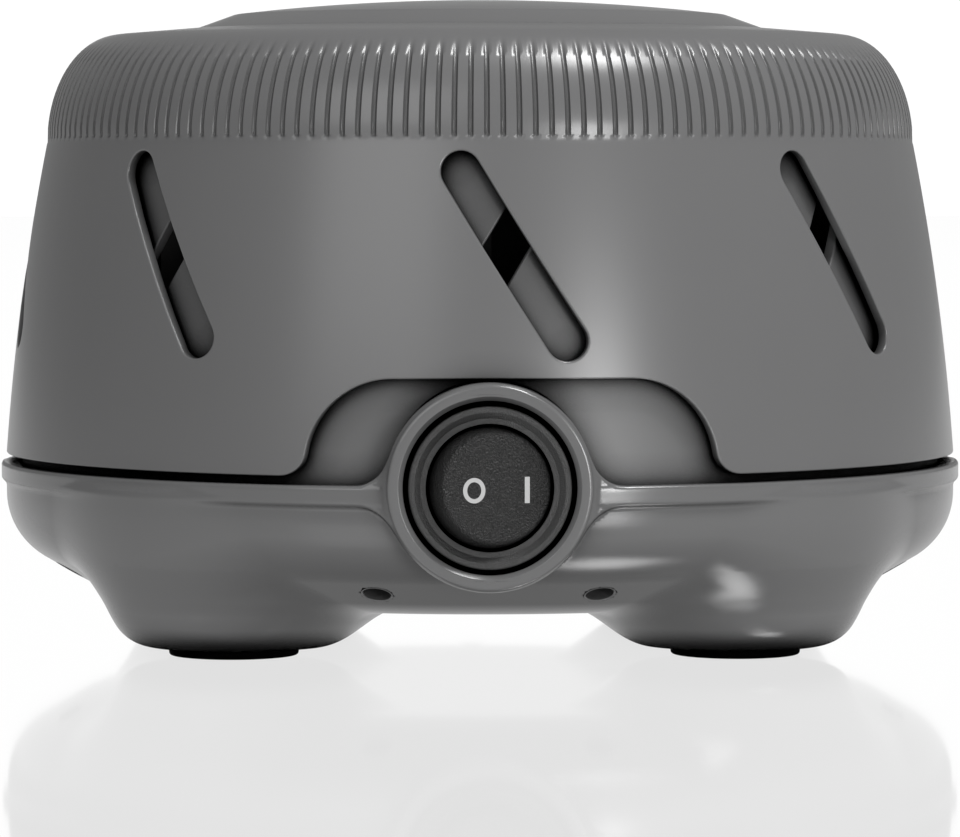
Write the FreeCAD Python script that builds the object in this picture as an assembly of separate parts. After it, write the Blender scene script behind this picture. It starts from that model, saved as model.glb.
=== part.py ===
import FreeCAD, Part
import math
import os

# A round fan-type sound machine: a slotted cap twists over a slotted inner shell to open or
# close the sound ports, above a shaded-pole motor that turns a fan. Millimetres and degrees.
# The origin is on the surface it stands on, on the machine's axis. +Z is up, the switch faces -Y.
# Angles are measured from the front, positive towards +X.

# Overall radius of the housing, at the base's wall and the cap's foot
base_radius = 72.35

# Dome of the cap, as its outer outline
cap_foot_radius = base_radius
flank_draw = 6.35
band_radius = cap_foot_radius - flank_draw
band_z = 75.0
shoulder_reach = 11.0
shoulder_rise = 16.3
shoulder_flat = 0.8
rim_z = 92.25
cap_foot_z = 27.9
flank_bulge = 0.75
cap_wall = 1.6

# Crown disc on top of the cap
crown_radius = 43.6
crown_gap = 0.15
crown_seat_z = 90.4
crown_edge_z = 92.2
crown_crease_radius = 37.5
crown_crease_z = 94.4
crown_top_z = 96.6
crown_wall = 1.6
crown_skirt = 1.7

# Twist bearing between the cap and the inner shell
hub_radius = 9.0
hub_rise = 0.6
post_radius = 5.5
twist_fit = 0.05
twist_gap = 0.85
thrust_inner_radius = 11.0
thrust_outer_radius = 14.0
thrust_gap = 0.1
lid_gap = 0.9
post_play = 0.2
rib_count = 6
rib_width = 1.4
rib_reach = 40.0

# Sound slots
slot_count = 8
slot_width = 5.85
slot_run = 14.8
slot_rise = 23.7
slot_centre_z = 58.9
inner_slot_phase = 1.5

# Arch in the cap and the cap's place at rest
arch_half_width = 29.0
arch_top_z = 41.7
arch_corner_radius = 12.0
arch_flare_radius = 3.3
cap_rest_angle = 2.75

# Inner shell
shell_wall = 1.8
shell_boss_radius = 7.0
shell_boss_length = 10.0
shell_pilot_depth = 13.0
ear_width = 11.0
ear_thickness = 2.8
pillar_radius = 4.5

# Base housing
lip_proud = 0.65
lip_radius = base_radius + lip_proud
lip_height = 2.6
lip_top_z = 26.6
lip_chamfer = 0.4
wing_overlap = 0.15
base_wall = 2.4
base_turn_radius = 11.0
base_turn_z = 22.0
base_slope = 30.3
base_bottom_z = 7.6
ledge_depth = 2.4
ledge_thickness = 2.2
ledge_reach = 3.6
rim_thickness = 2.4

# Feet
foot_inset = 20.35
foot_circle_radius = base_radius - foot_inset
foot_angles = (45, 135, 225, 315)
foot_radius = 19.0
foot_edge_radius = 4.5
foot_bottom_z = 1.4
foot_top_z = 17.0
foot_flare_radius = 1.5
foot_floor = 2.4
foot_roof_z = 14.6
pad_radius = 9.5
pad_recess = 0.8
pad_gap = 0.1
pad_edge_radius = 0.5

# Housing screws, driven up through the feet
screw_radius = 1.5
screw_gap = 0.05
screw_hole_gap = 0.2
screw_tube_radius = 5.0
screw_tube_top_z = 16.0
screw_head_radius = 3.2
screw_head_height = 2.4
screw_head_z = 3.0
screw_head_gap = 0.4
screw_length = 19.0
screw_socket_radius = 1.4
screw_socket_depth = 1.2

# Vent holes in the base's lower flank
vent_radius = 2.0
vent_offset_angle = 14.3
vent_inset = 8.35
vent_circle_radius = base_radius - vent_inset
vent_reach = 6.0

# Switch boss on the base's front
switch_z = 26.6
boss_radius = 14.35
boss_bore_radius = 12.2
boss_proud = 0.8
boss_length = 9.8
boss_front_y = -lip_radius - boss_proud
boss_back_y = boss_front_y + boss_length
boss_chamfer = 0.65
boss_flare_radius = 5.0
boss_shell_gap = 0.55
panel_thickness = 2.0
panel_hole_gap = 0.1

# Rocker switch
bezel_radius = 11.5
bezel_thickness = 3.2
bezel_inset = 0.4
bezel_edge = 0.35
bezel_cone_radius = 9.75
bezel_cone_drop = 0.5
bezel_lip_radius = 8.95
bezel_lip_height = 0.8
bezel_cavity_radius = 9.35
bezel_cavity_low = 0.3
flank_slot_half = 5.0
flank_slot_low = 0.9
switch_radius = 10.0
switch_wall = 1.6
switch_depth = 11.4
pivot_depth = 4.4
pivot_radius = 1.2
pivot_fit = 0.05
pivot_reach = 0.6
rocker_tilt = 12.0
rocker_ball_radius = 9.2
rocker_face_height = 5.0
rocker_skirt_height = 2.0
rocker_flank_height = 1.2
rocker_flank_half = 4.5
rocker_stem_half_x = 4.5
rocker_stem_half_z = 6.6
rocker_stem_depth = 3.0
terminal_thickness = 0.8
terminal_width = 6.3
terminal_length = 8.5
terminal_spacing = 9.0

# Cord inlet bush at the back
inlet_z = 16.2
inlet_pad_radius = 7.6
inlet_proud = 0.25
inlet_length = 12.6
inlet_pad_y = base_radius + inlet_proud
inlet_inner_y = inlet_pad_y - inlet_length
gland_radius = 5.0
gland_gap = 0.2
gland_bore_radius = 3.3
gland_flange_radius = 7.0
gland_flange_thickness = 1.8
gland_nose_radius = 5.0

# Motor plate on its rubber grommets
plate_half_x = 31.0
plate_half_y = 27.0
plate_corner_radius = 6.0
plate_thickness = 1.2
plate_z = 18.4
plate_hole_radius = 6.0
mount_x = 24.0
mount_y = 20.0
mount_post_radius = 4.0
mount_post_top_z = 16.0
grommet_radius = 5.5
grommet_neck_radius = 4.0
grommet_top_z = 22.0
plate_screw_head_radius = 3.5
plate_screw_head_height = 2.0
plate_screw_length = 10.5

# Shaded-pole motor
stack_z = 27.0
stack_height = 12.0
stack_half_x = 24.0
stack_front_y = -17.0
stack_back_y = 37.0
stack_arm = 9.0
stack_leg = 10.0
window_front_y = 13.0
rotor_radius = 10.9
air_gap = 0.4
rotor_ring_radius = 10.3
rotor_ring_height = 1.4
shaft_radius = 1.6
shaft_bottom_z = 18.0
shaft_fit = 0.03
bobbin_wall = 1.0
bobbin_gap = 0.1
bobbin_flange = 1.2
winding_depth = 5.0
winding_corner_radius = 3.5
winding_gap = 0.1
shade_x = 12.0
shade_slot_y = 9.0
shade_wire = 1.6
shade_gap = 0.1
bracket_thickness = 1.2
bracket_half_y = 6.0
bracket_half_x = 23.0
bracket_leg_x = 14.3
bracket_rise = 7.0
bearing_radius = 3.6
bearing_gap = 0.02
bearing_length = 4.6
washer_radius = 3.0
washer_thickness = 0.8
motor_screw_x = 19.0
motor_screw_radius = 1.75
motor_screw_gap = 0.15
motor_screw_head_radius = 3.2
motor_screw_head_height = 2.2
motor_nut_height = 2.8
motor_nut_radius = 3.4
spacer_radius = 3.4

# Fan
fan_radius = 46.0
fan_disc_z = 52.0
fan_disc_thickness = 1.4
fan_blade_height = 19.0
fan_blade_count = 8
fan_blade_inner_radius = 20.0
fan_blade_thickness = 1.4
fan_blade_sweep = 22.0
fan_blade_belly = 9.0
fan_hub_radius = 6.0
fan_hub_drop = 2.0
fan_hub_rise = 7.0
fan_fit = 0.02
clip_radius = 5.0
clip_thickness = 0.8
shaft_end = 2.6

# Pivot screw and washer under the crown
pivot_washer_radius = 9.5
pivot_washer_thickness = 1.0
pivot_head_radius = 3.6
pivot_head_height = 2.0
pivot_screw_length = 11.0

# Leads and splice caps
lead_radius = 1.0
lead_bend = 5.0
lead_sidestep = 7.0
lead_gap = 0.15
splice_radius = 3.4
splice_length = 12.0
splice_x = 13.0
splice_inset = 29.35
splice_front_y = base_radius - splice_inset
lead_side_x = 33.0
lead_front_y = -33.0
lead_low_z = 14.0

# Worked-out sizes
up = FreeCAD.Vector(0, 0, 1)
origin = FreeCAD.Vector(0, 0, 0)
back = FreeCAD.Vector(0, 1, 0)
margin = 1.0
lid_underside_z = crown_seat_z - cap_wall
shell_top_z = lid_underside_z - lid_gap
shell_inset = cap_wall + twist_gap
shell_foot_z = lip_top_z - ledge_depth
hub_top_z = crown_seat_z + hub_rise
post_top_z = hub_top_z + post_play
bezel_front_y = boss_front_y + bezel_inset
panel_front_y = bezel_front_y + bezel_thickness
panel_back_y = panel_front_y + panel_thickness
pivot_y = bezel_front_y + pivot_depth
switch_back_y = panel_front_y + switch_depth
floor_z = base_bottom_z + base_wall
rocker_face_radius = math.sqrt(rocker_ball_radius ** 2 - rocker_face_height ** 2)
tilt = math.radians(rocker_tilt)
rocker_reach = rocker_face_height * math.cos(tilt) + rocker_face_radius * math.sin(tilt)
front_reach = rocker_reach - pivot_y
stack_top_z = stack_z + stack_height
bore_radius = rotor_radius + air_gap
leg_front_y = stack_back_y - stack_leg
window_half_x = stack_half_x - stack_arm
plate_top_z = plate_z + plate_thickness
fan_hub_top_z = fan_disc_z + fan_hub_rise
fan_hub_low_z = fan_disc_z - fan_hub_drop
shaft_top_z = fan_hub_top_z + clip_thickness + shaft_end
rotor_low_z = stack_z - rotor_ring_height
rotor_high_z = stack_top_z + rotor_ring_height


def disc(radius, low_z, high_z, x=0.0, y=0.0):
    return Part.makeCylinder(radius, high_z - low_z, FreeCAD.Vector(x, y, low_z), up)


def tube(radius, bore, low_z, high_z, x=0.0, y=0.0):
    return disc(radius, low_z, high_z, x, y).cut(disc(bore, low_z - margin, high_z + margin, x, y))


def rod_y(radius, from_y, to_y, x, z):
    return Part.makeCylinder(radius, to_y - from_y, FreeCAD.Vector(x, from_y, z), back)


def block(low_x, high_x, low_y, high_y, low_z, high_z):
    corner = FreeCAD.Vector(low_x, low_y, low_z)
    return Part.makeBox(high_x - low_x, high_y - low_y, high_z - low_z, corner)


def turned(edges):
    """A solid of revolution about Z from edges drawn in the XZ plane."""
    face = Part.Face(Part.Wire(edges))
    return face.revolve(origin, up, 360)


def line(start, end):
    return Part.makeLine(point(start), point(end))


def arc(start, middle, end):
    return Part.Arc(point(start), point(middle), point(end)).toShape()


def shallow_arc(edge, top_z):
    """Arc of a shallow dome, from its edge to its top on the axis, centred on the axis."""
    drop = top_z - edge[1]
    radius = (edge[0] ** 2 + drop ** 2) / (2 * drop)
    half_angle = math.asin(edge[0] / radius) / 2
    middle = (radius * math.sin(half_angle), top_z - radius * (1 - math.cos(half_angle)))
    return arc(edge, middle, (0, top_z))


def point(flat):
    """A point of a turned outline, given as radius and height."""
    return FreeCAD.Vector(flat[0], 0, flat[1])


def turn(shape, angle):
    copy = shape.copy()
    copy.rotate(origin, up, angle)
    return copy


def around(shape, angles):
    return [turn(shape, angle) for angle in angles]


def joined(shapes):
    return shapes[0].multiFuse(shapes[1:]).removeSplitter()


def even_angles(count, first=0.0):
    return [first + 360.0 * step / count for step in range(count)]


def write(name, shape):
    shape.exportStep("parts/" + name + ".step")


def flank_radius(z):
    """Outer radius of the cap's flank, a shallow bulge between its foot and its band."""
    share = (band_z - z) / (band_z - cap_foot_z)
    straight = band_radius + (cap_foot_radius - band_radius) * share
    return straight + flank_bulge * 4 * share * (1 - share)


def dome(inset, foot_z):
    """The cap's outer form as a full solid, drawn in by an inset, down to a foot height."""
    reach = shoulder_reach - inset
    rise = shoulder_rise - inset
    centre = (band_radius - shoulder_reach, band_z)
    top_end = (centre[0], centre[1] + rise)
    side_end = (centre[0] + reach, centre[1])
    oval = Part.Ellipse(point(top_end), point(side_end), point(centre))
    join = math.asin(shoulder_flat / reach)
    shoulder = Part.ArcOfEllipse(oval, join, math.pi / 2).toShape()
    join_point = (centre[0] + shoulder_flat, centre[1] + rise * math.cos(join))
    rim = (crown_radius + crown_gap, rim_z - inset)
    axis_top = (0, rim_z - inset)
    axis_foot = (0, foot_z)
    foot = (flank_radius(foot_z) - inset, foot_z)
    middle_z = (band_z + foot_z) / 2
    middle = (flank_radius(middle_z) - inset, middle_z)
    edges = [line(axis_foot, axis_top), line(axis_top, rim), line(rim, join_point), shoulder]
    edges += [arc(side_end, middle, foot), line(foot, axis_foot)]
    return turned(edges)


def slot_cutter(lean):
    """A slanted round-ended slot through the front wall; lean is -1 for a top towards -X."""
    half_run = lean * slot_run / 2
    half_rise = slot_rise / 2
    length = math.hypot(slot_run, slot_rise)
    across_x = slot_width / 2 * slot_rise / length
    across_z = slot_width / 2 * slot_run / length * lean
    near_y = -cap_foot_radius - margin
    depth = cap_foot_radius - band_radius + shell_wall + slot_width + shell_inset

    def spot(side, end, along=0.0):
        x = end * half_run + side * across_x + end * along * lean * slot_run / length
        z = slot_centre_z + end * half_rise - side * across_z + end * along * slot_rise / length
        return FreeCAD.Vector(x, near_y, z)

    radius = slot_width / 2
    sides = [Part.makeLine(spot(1, -1), spot(1, 1)), Part.makeLine(spot(-1, 1), spot(-1, -1))]
    top_end = Part.Arc(spot(1, 1), spot(0, 1, radius), spot(-1, 1)).toShape()
    low_end = Part.Arc(spot(-1, -1), spot(0, -1, radius), spot(1, -1)).toShape()
    outline = Part.Wire([sides[0], top_end, sides[1], low_end])
    return Part.Face(outline).extrude(back * depth)


def arch_cutter():
    """The arch over the switch: flat top, large corners, and a flare at its foot."""
    half = arch_half_width
    corner = arch_corner_radius
    flare = arch_flare_radius
    top = arch_top_z
    foot = cap_foot_z
    low = foot - margin
    diagonal = math.sqrt(0.5)
    near_y = -cap_foot_radius - margin

    def spot(x, z):
        return FreeCAD.Vector(x, near_y, z)

    def side(sign):
        bend = spot(sign * (half - corner + corner * diagonal), top - corner + corner * diagonal)
        curl = spot(sign * (half + flare - flare * diagonal), foot + flare - flare * diagonal)
        shoulder = Part.Arc(spot(sign * (half - corner), top), bend, spot(sign * half, top - corner))
        foot_curve = Part.Arc(spot(sign * half, foot + flare), curl, spot(sign * (half + flare), foot))
        return [
            shoulder.toShape(),
            Part.makeLine(spot(sign * half, top - corner), spot(sign * half, foot + flare)),
            foot_curve.toShape(),
            Part.makeLine(spot(sign * (half + flare), foot), spot(sign * (half + flare), low)),
        ]

    across = [Part.makeLine(spot(corner - half, top), spot(half - corner, top))]
    across += [Part.makeLine(spot(-half - flare, low), spot(half + flare, low))]
    edges = Part.sortEdges(across + side(1) + side(-1))[0]
    return Part.Face(Part.Wire(edges)).extrude(back * cap_foot_radius / 2)


def outer_cap():
    """Twist cap: a thin slotted dome with a sunk seat for the crown and a hub on the post."""
    shell = dome(0, cap_foot_z).cut(dome(cap_wall, cap_foot_z - margin))
    recess = crown_radius + crown_gap
    seat = disc(recess + cap_wall, lid_underside_z, rim_z - cap_wall)
    hub = disc(hub_radius, lid_underside_z, hub_top_z)
    rib = block(hub_radius - margin, rib_reach, -rib_width / 2, rib_width / 2,
                crown_seat_z - cap_wall / 2, crown_seat_z + hub_rise / 2)
    body = joined([shell, seat]).cut(disc(recess, crown_seat_z, rim_z + margin))
    body = joined([body, hub] + around(rib, even_angles(rib_count)))
    body = body.cut(disc(post_radius + twist_fit, lid_underside_z - margin, hub_top_z + margin))
    slots = around(slot_cutter(-1), even_angles(slot_count))
    body = body.cut(slots + [arch_cutter()])
    return turn(body, cap_rest_angle)


def cap_crown():
    """Crown: a hollow disc with a sloped edge and a shallow dome that hides the pivot."""
    skirt_radius = crown_radius - crown_skirt
    crease = (crown_crease_radius, crown_crease_z)
    outer = [
        line((crown_radius, crown_seat_z), (crown_radius, crown_edge_z)),
        line((crown_radius, crown_edge_z), crease),
        shallow_arc(crease, crown_top_z),
    ]
    inner_top = (0, crown_top_z - crown_wall)
    inner_crease = (crown_crease_radius - crown_wall / 2, crown_crease_z - crown_wall)
    skirt_top = (skirt_radius, crown_edge_z - crown_wall / 2)
    inner = [
        line((0, crown_top_z), inner_top),
        shallow_arc(inner_crease, inner_top[1]),
        line(inner_crease, skirt_top),
        line(skirt_top, (skirt_radius, crown_seat_z)),
        line((skirt_radius, crown_seat_z), (crown_radius, crown_seat_z)),
    ]
    return turned(outer + inner)


def inner_shell():
    """Fixed inner shell: mirror-slanted slots, the cap's post, and ears on screw pillars."""
    outer = dome(shell_inset, shell_foot_z)
    inner = dome(shell_inset + shell_wall, shell_foot_z - margin)
    outer = outer.cut(disc(cap_foot_radius, shell_top_z, rim_z + margin))
    inner = inner.cut(disc(cap_foot_radius, shell_top_z - shell_wall, rim_z + margin))
    ear_top_z = shell_foot_z + ear_thickness
    ear = block(-ear_width / 2, ear_width / 2, -cap_foot_radius, -foot_circle_radius,
                shell_foot_z, ear_top_z)
    ear = ear.common(dome(shell_inset + shell_wall / 2, shell_foot_z))
    pillar = disc(pillar_radius, screw_tube_top_z, ear_top_z + pillar_radius, 0, -foot_circle_radius)
    ears = around(ear.fuse(pillar), foot_angles)
    boss = disc(shell_boss_radius, shell_top_z - shell_boss_length, shell_top_z)
    post = disc(post_radius, shell_top_z - margin, post_top_z)
    thrust = tube(thrust_outer_radius, thrust_inner_radius, shell_top_z - shell_wall / 2,
                  lid_underside_z - thrust_gap)
    body = joined([outer.cut(inner), boss, post, thrust] + ears)
    pilot = disc(screw_radius + screw_gap, post_top_z - shell_pilot_depth, post_top_z + margin)
    notch_radius = boss_radius + boss_shell_gap
    notch = rod_y(notch_radius, -cap_foot_radius, boss_back_y + shell_wall, 0, switch_z)
    notch_foot = block(-notch_radius, notch_radius, -cap_foot_radius, boss_back_y + shell_wall,
                       shell_foot_z - margin, switch_z)
    screw_pilot = disc(screw_radius + screw_gap, screw_tube_top_z - margin,
                       screw_head_z + screw_head_height + screw_length + margin, 0,
                       -foot_circle_radius)
    slots = around(slot_cutter(1), even_angles(slot_count, inner_slot_phase))
    cutters = [pilot, notch, notch_foot] + around(screw_pilot, foot_angles) + slots
    return body.cut(cutters)


def base_outline(inset, low_z):
    """Lower flank of the base: a turn into a slope, down to a flat bottom."""
    turn_radius = base_turn_radius - inset
    centre_r = base_radius - base_turn_radius
    slope = math.radians(base_slope)
    half = (math.pi / 2 - slope) / 2
    top = (centre_r + turn_radius, base_turn_z)
    middle = (centre_r + turn_radius * math.cos(half), base_turn_z - turn_radius * math.sin(half))
    end = (centre_r + turn_radius * math.sin(slope), base_turn_z - turn_radius * math.cos(slope))
    bottom = (end[0] - (end[1] - low_z) / math.tan(slope), low_z)
    return top, middle, end, bottom


def base_outer():
    """The base's outer form as a full solid, with its lip and its four filleted feet."""
    top, middle, end, bottom = base_outline(0, base_bottom_z)
    lip_low_z = lip_top_z - lip_height
    edges = [
        line((0, base_bottom_z), bottom),
        line(bottom, end),
        arc(end, middle, top),
        line(top, (base_radius, lip_low_z)),
        line((base_radius, lip_low_z), (lip_radius, lip_low_z)),
        line((lip_radius, lip_low_z), (lip_radius, lip_top_z - lip_chamfer)),
        line((lip_radius, lip_top_z - lip_chamfer), (lip_radius - lip_chamfer, lip_top_z)),
        line((lip_radius - lip_chamfer, lip_top_z), (0, lip_top_z)),
        line((0, lip_top_z), (0, base_bottom_z)),
    ]
    foot = disc(foot_radius, foot_bottom_z, foot_top_z, 0, -foot_circle_radius)
    rim = [edge for edge in foot.Edges if edge.BoundBox.ZMax < foot_bottom_z + margin / 10]
    foot = foot.makeFillet(foot_edge_radius, rim)
    body = turned(edges).multiFuse(around(foot, foot_angles))
    return body.makeFillet(foot_flare_radius, foot_seams(body))


def foot_seams(body):
    """Edges where a foot's upright side meets the base's underside and flank."""
    centres = [turn(Part.Vertex(0, -foot_circle_radius, 0), angle).Point for angle in foot_angles]

    def on_side(edge):
        spread = []
        for parameter in (0.0, 0.5, 1.0):
            value = edge.FirstParameter + parameter * (edge.LastParameter - edge.FirstParameter)
            place = edge.valueAt(value)
            nearest = min(math.hypot(place.x - c.x, place.y - c.y) for c in centres)
            spread.append(abs(nearest - foot_radius))
        return max(spread) < margin / 100

    low = base_bottom_z - margin / 10
    return [edge for edge in body.Edges if edge.BoundBox.ZMin > low and on_side(edge)]


def base_hollow():
    """Space inside the base: its main room, the ledge's opening and the hollows in the feet."""
    top, middle, end, bottom = base_outline(base_wall, floor_z)
    ledge_low_z = shell_foot_z - ledge_thickness
    edges = [
        line((0, floor_z), bottom),
        line(bottom, end),
        arc(end, middle, top),
        line(top, (0, base_turn_z)),
        line((0, base_turn_z), (0, floor_z)),
    ]
    opening = disc(lip_radius - rim_thickness - ledge_reach, floor_z + margin, lip_top_z + margin)
    seat = disc(lip_radius - rim_thickness, shell_foot_z, lip_top_z + margin)
    under = disc(base_radius - base_wall, base_turn_z - margin / 10, ledge_low_z + margin / 10)
    room = turned(edges).multiFuse([opening, seat, under])
    foot = disc(foot_radius - base_wall, foot_bottom_z + foot_floor, foot_roof_z, 0,
                -foot_circle_radius)
    return room.multiFuse(around(foot, foot_angles))


def boss_wings():
    """Flares that widen the lip into the switch boss, above and below it, on both sides."""
    flare = boss_flare_radius
    reach = boss_radius + flare
    lip_low_z = lip_top_z - lip_height

    def flare_points(edge_z, sign):
        rise = edge_z + sign * flare - switch_z
        centre_x = math.sqrt(reach ** 2 - rise ** 2)
        centre_z = switch_z + rise
        share = boss_radius / reach
        on_boss = (centre_x * share, switch_z + rise * share)
        on_lip = (centre_x, edge_z)
        toward_x = (on_boss[0] + on_lip[0]) / 2 - centre_x
        toward_z = (on_boss[1] + on_lip[1]) / 2 - centre_z
        size = math.hypot(toward_x, toward_z)
        middle = (centre_x + toward_x * flare / size, centre_z + toward_z * flare / size)
        return on_boss, middle, on_lip

    def spot(place):
        return FreeCAD.Vector(place[0], boss_front_y, place[1])

    upper, upper_middle, upper_end = flare_points(lip_top_z - wing_overlap, 1)
    lower, lower_middle, lower_end = flare_points(lip_low_z + wing_overlap, -1)
    inner_x = boss_bore_radius + margin / 2
    corners = [(inner_x, upper[1]), (inner_x, lower[1])]
    edges = [
        Part.makeLine(spot(corners[0]), spot(upper)),
        Part.Arc(spot(upper), spot(upper_middle), spot(upper_end)).toShape(),
        Part.makeLine(spot(upper_end), spot(lower_end)),
        Part.Arc(spot(lower_end), spot(lower_middle), spot(lower)).toShape(),
        Part.makeLine(spot(lower), spot(corners[1])),
        Part.makeLine(spot(corners[1]), spot(corners[0])),
    ]
    wing = Part.Face(Part.Wire(edges)).extrude(back * boss_length)
    ring = tube(lip_radius + wing_overlap, lip_radius - rim_thickness + wing_overlap,
                base_bottom_z, slot_centre_z)
    wing = wing.common(ring)
    return [wing, wing.mirror(origin, FreeCAD.Vector(1, 0, 0))]


def base_housing():
    """Base: tray with lip, feet, floor posts, switch boss, cord inlet and vents."""
    opening = rod_y(boss_bore_radius + margin / 2, boss_front_y, boss_back_y, 0, switch_z)
    body = base_outer().cut(base_hollow()).cut(opening)
    tube_top = disc(screw_tube_radius, foot_bottom_z + foot_floor / 2, screw_tube_top_z, 0,
                    -foot_circle_radius)
    posts = [
        disc(mount_post_radius, floor_z - base_wall / 2, mount_post_top_z, x, y)
        for x in (-mount_x, mount_x)
        for y in (-mount_y, mount_y)
    ]
    bore = rod_y(boss_bore_radius, boss_front_y - margin, boss_back_y + margin, 0, switch_z)
    boss = rod_y(boss_radius, boss_front_y, boss_back_y, 0, switch_z).cut(bore)
    inlet = rod_y(inlet_pad_radius, inlet_inner_y, inlet_pad_y, 0, inlet_z)
    body = joined([body, boss, inlet] + boss_wings() + around(tube_top, foot_angles) + posts)
    body = body.cut(base_cutters())
    panel = rod_y(boss_bore_radius + margin / 2, panel_front_y, panel_back_y, 0, switch_z)
    hole = rod_y(switch_radius + panel_hole_gap, boss_front_y, boss_back_y, 0, switch_z)
    return joined([body, panel.cut(hole)])


def base_cutters():
    """Holes in the base: switch bore, cord inlet, vents, pad recesses and screw holes."""
    bore = rod_y(boss_bore_radius, boss_front_y - margin, boss_back_y + margin, 0, switch_z)
    mouth = Part.makeCone(boss_bore_radius + boss_chamfer, boss_bore_radius, boss_chamfer,
                          FreeCAD.Vector(0, boss_front_y, switch_z), back)
    inlet = rod_y(gland_radius + gland_gap, inlet_inner_y - margin, inlet_pad_y + margin, 0, inlet_z)
    y = -foot_circle_radius
    recess = disc(pad_radius + pad_gap, foot_bottom_z - margin, foot_bottom_z + pad_recess, 0, y)
    counterbore = disc(screw_head_radius + screw_head_gap, foot_bottom_z,
                       screw_head_z + screw_head_height, 0, y)
    shank = disc(screw_radius + screw_hole_gap, foot_bottom_z, screw_tube_top_z + margin, 0, y)
    foot_hole = recess.multiFuse([counterbore, shank])
    plate_holes = [
        disc(screw_radius + screw_gap, floor_z, mount_post_top_z + margin, x, y)
        for x in (-mount_x, mount_x)
        for y in (-mount_y, mount_y)
    ]
    return [bore, mouth, inlet] + around(foot_hole, foot_angles) + plate_holes + vent_cutters()


def vent_cutters():
    slope = math.radians(base_slope)
    top, middle, end, bottom = base_outline(0, base_bottom_z)
    z = end[1] - (end[0] - vent_circle_radius) * math.tan(slope)
    outward = FreeCAD.Vector(0, -math.sin(slope), -math.cos(slope))
    start = FreeCAD.Vector(0, -vent_circle_radius, z) - outward * vent_reach
    vent = Part.makeCylinder(vent_radius, 2 * vent_reach, start, outward)
    pairs = []
    for quarter in (0, 90, 180, 270):
        pairs += [quarter - vent_offset_angle, quarter + vent_offset_angle]
    return around(vent, pairs)


def foot_pad():
    """Rubber pad in the front foot's recess, with a soft lower edge."""
    pad = disc(pad_radius, 0, foot_bottom_z + pad_recess, 0, -foot_circle_radius)
    low = [edge for edge in pad.Edges if edge.BoundBox.ZMax < margin / 10]
    return pad.makeFillet(pad_edge_radius, low)


def housing_screw():
    low_z = screw_head_z
    y = -foot_circle_radius
    head = disc(screw_head_radius, low_z, low_z + screw_head_height, 0, y)
    shank_low_z = low_z + screw_head_height - margin / 10
    shank = disc(screw_radius, shank_low_z, low_z + screw_head_height + screw_length, 0, y)
    socket = disc(screw_socket_radius, low_z - margin, low_z + screw_socket_depth, 0, y)
    return joined([head, shank]).cut(socket)


def pivot_washer():
    return tube(pivot_washer_radius, screw_radius + screw_hole_gap, post_top_z,
                post_top_z + pivot_washer_thickness)


def pivot_screw():
    seat_z = post_top_z + pivot_washer_thickness
    head = disc(pivot_head_radius, seat_z, seat_z + pivot_head_height)
    shank = disc(screw_radius, seat_z - pivot_screw_length, seat_z + margin / 10)
    socket = disc(screw_socket_radius, seat_z + pivot_head_height - screw_socket_depth,
                  seat_z + pivot_head_height + margin)
    return joined([head, shank]).cut(socket)


def switch_body():
    """Snap-in switch: a coned bezel with a lip, and a drum that holds the rocker's pivot."""
    front_y = bezel_front_y
    bezel = rod_y(bezel_radius, front_y, panel_front_y, 0, switch_z)
    outer_edge = [edge for edge in bezel.Edges if edge.BoundBox.YMax < front_y + margin / 10]
    bezel = bezel.makeFillet(bezel_edge, outer_edge)
    drum = rod_y(switch_radius, panel_front_y - margin / 2, switch_back_y, 0, switch_z)
    cone = Part.makeCone(bezel_radius - bezel_edge - bezel_cone_drop, bezel_cone_radius,
                         bezel_cone_drop, FreeCAD.Vector(0, front_y, switch_z), back)
    cone = cone.fuse(rod_y(bezel_cone_radius, front_y - margin, front_y, 0, switch_z))
    lip = rod_y(bezel_lip_radius, front_y - margin, pivot_y - bezel_cavity_low, 0, switch_z)
    lip_back_y = front_y + bezel_cone_drop + bezel_lip_height
    cavity = rod_y(bezel_cavity_radius, lip_back_y, pivot_y - bezel_cavity_low, 0, switch_z)
    flanks = rod_y(bezel_cavity_radius, lip_back_y, pivot_y + flank_slot_low, 0, switch_z)
    flanks = flanks.common(block(-bezel_radius, bezel_radius, front_y, panel_back_y,
                                 switch_z - flank_slot_half, switch_z + flank_slot_half))
    room = rod_y(switch_radius - switch_wall, front_y, switch_back_y - switch_wall, 0, switch_z)
    pins = rocker_pins(pivot_fit, switch_radius - switch_wall + 2 * pivot_reach)
    body = joined([bezel, drum]).cut([cone, lip, cavity, flanks, room, pins])
    slots = [terminal(x, shade_gap) for x in (-terminal_spacing / 2, terminal_spacing / 2)]
    return body.cut(slots)


def rocker_pins(clearance, reach):
    low = FreeCAD.Vector(0, pivot_y, switch_z - reach)
    return Part.makeCylinder(pivot_radius + clearance, 2 * reach, low, up)


def terminal(x, clearance):
    """One spade terminal, from inside the switch's back wall to its blade end."""
    half = terminal_width / 2 + clearance
    thick = terminal_thickness / 2 + clearance
    return block(x - thick, x + thick, switch_back_y - 2 * switch_wall - clearance,
                 switch_back_y + terminal_length, switch_z - half, switch_z + half)


def switch_terminals():
    return Part.makeCompound([terminal(-terminal_spacing / 2, 0), terminal(terminal_spacing / 2, 0)])


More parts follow.
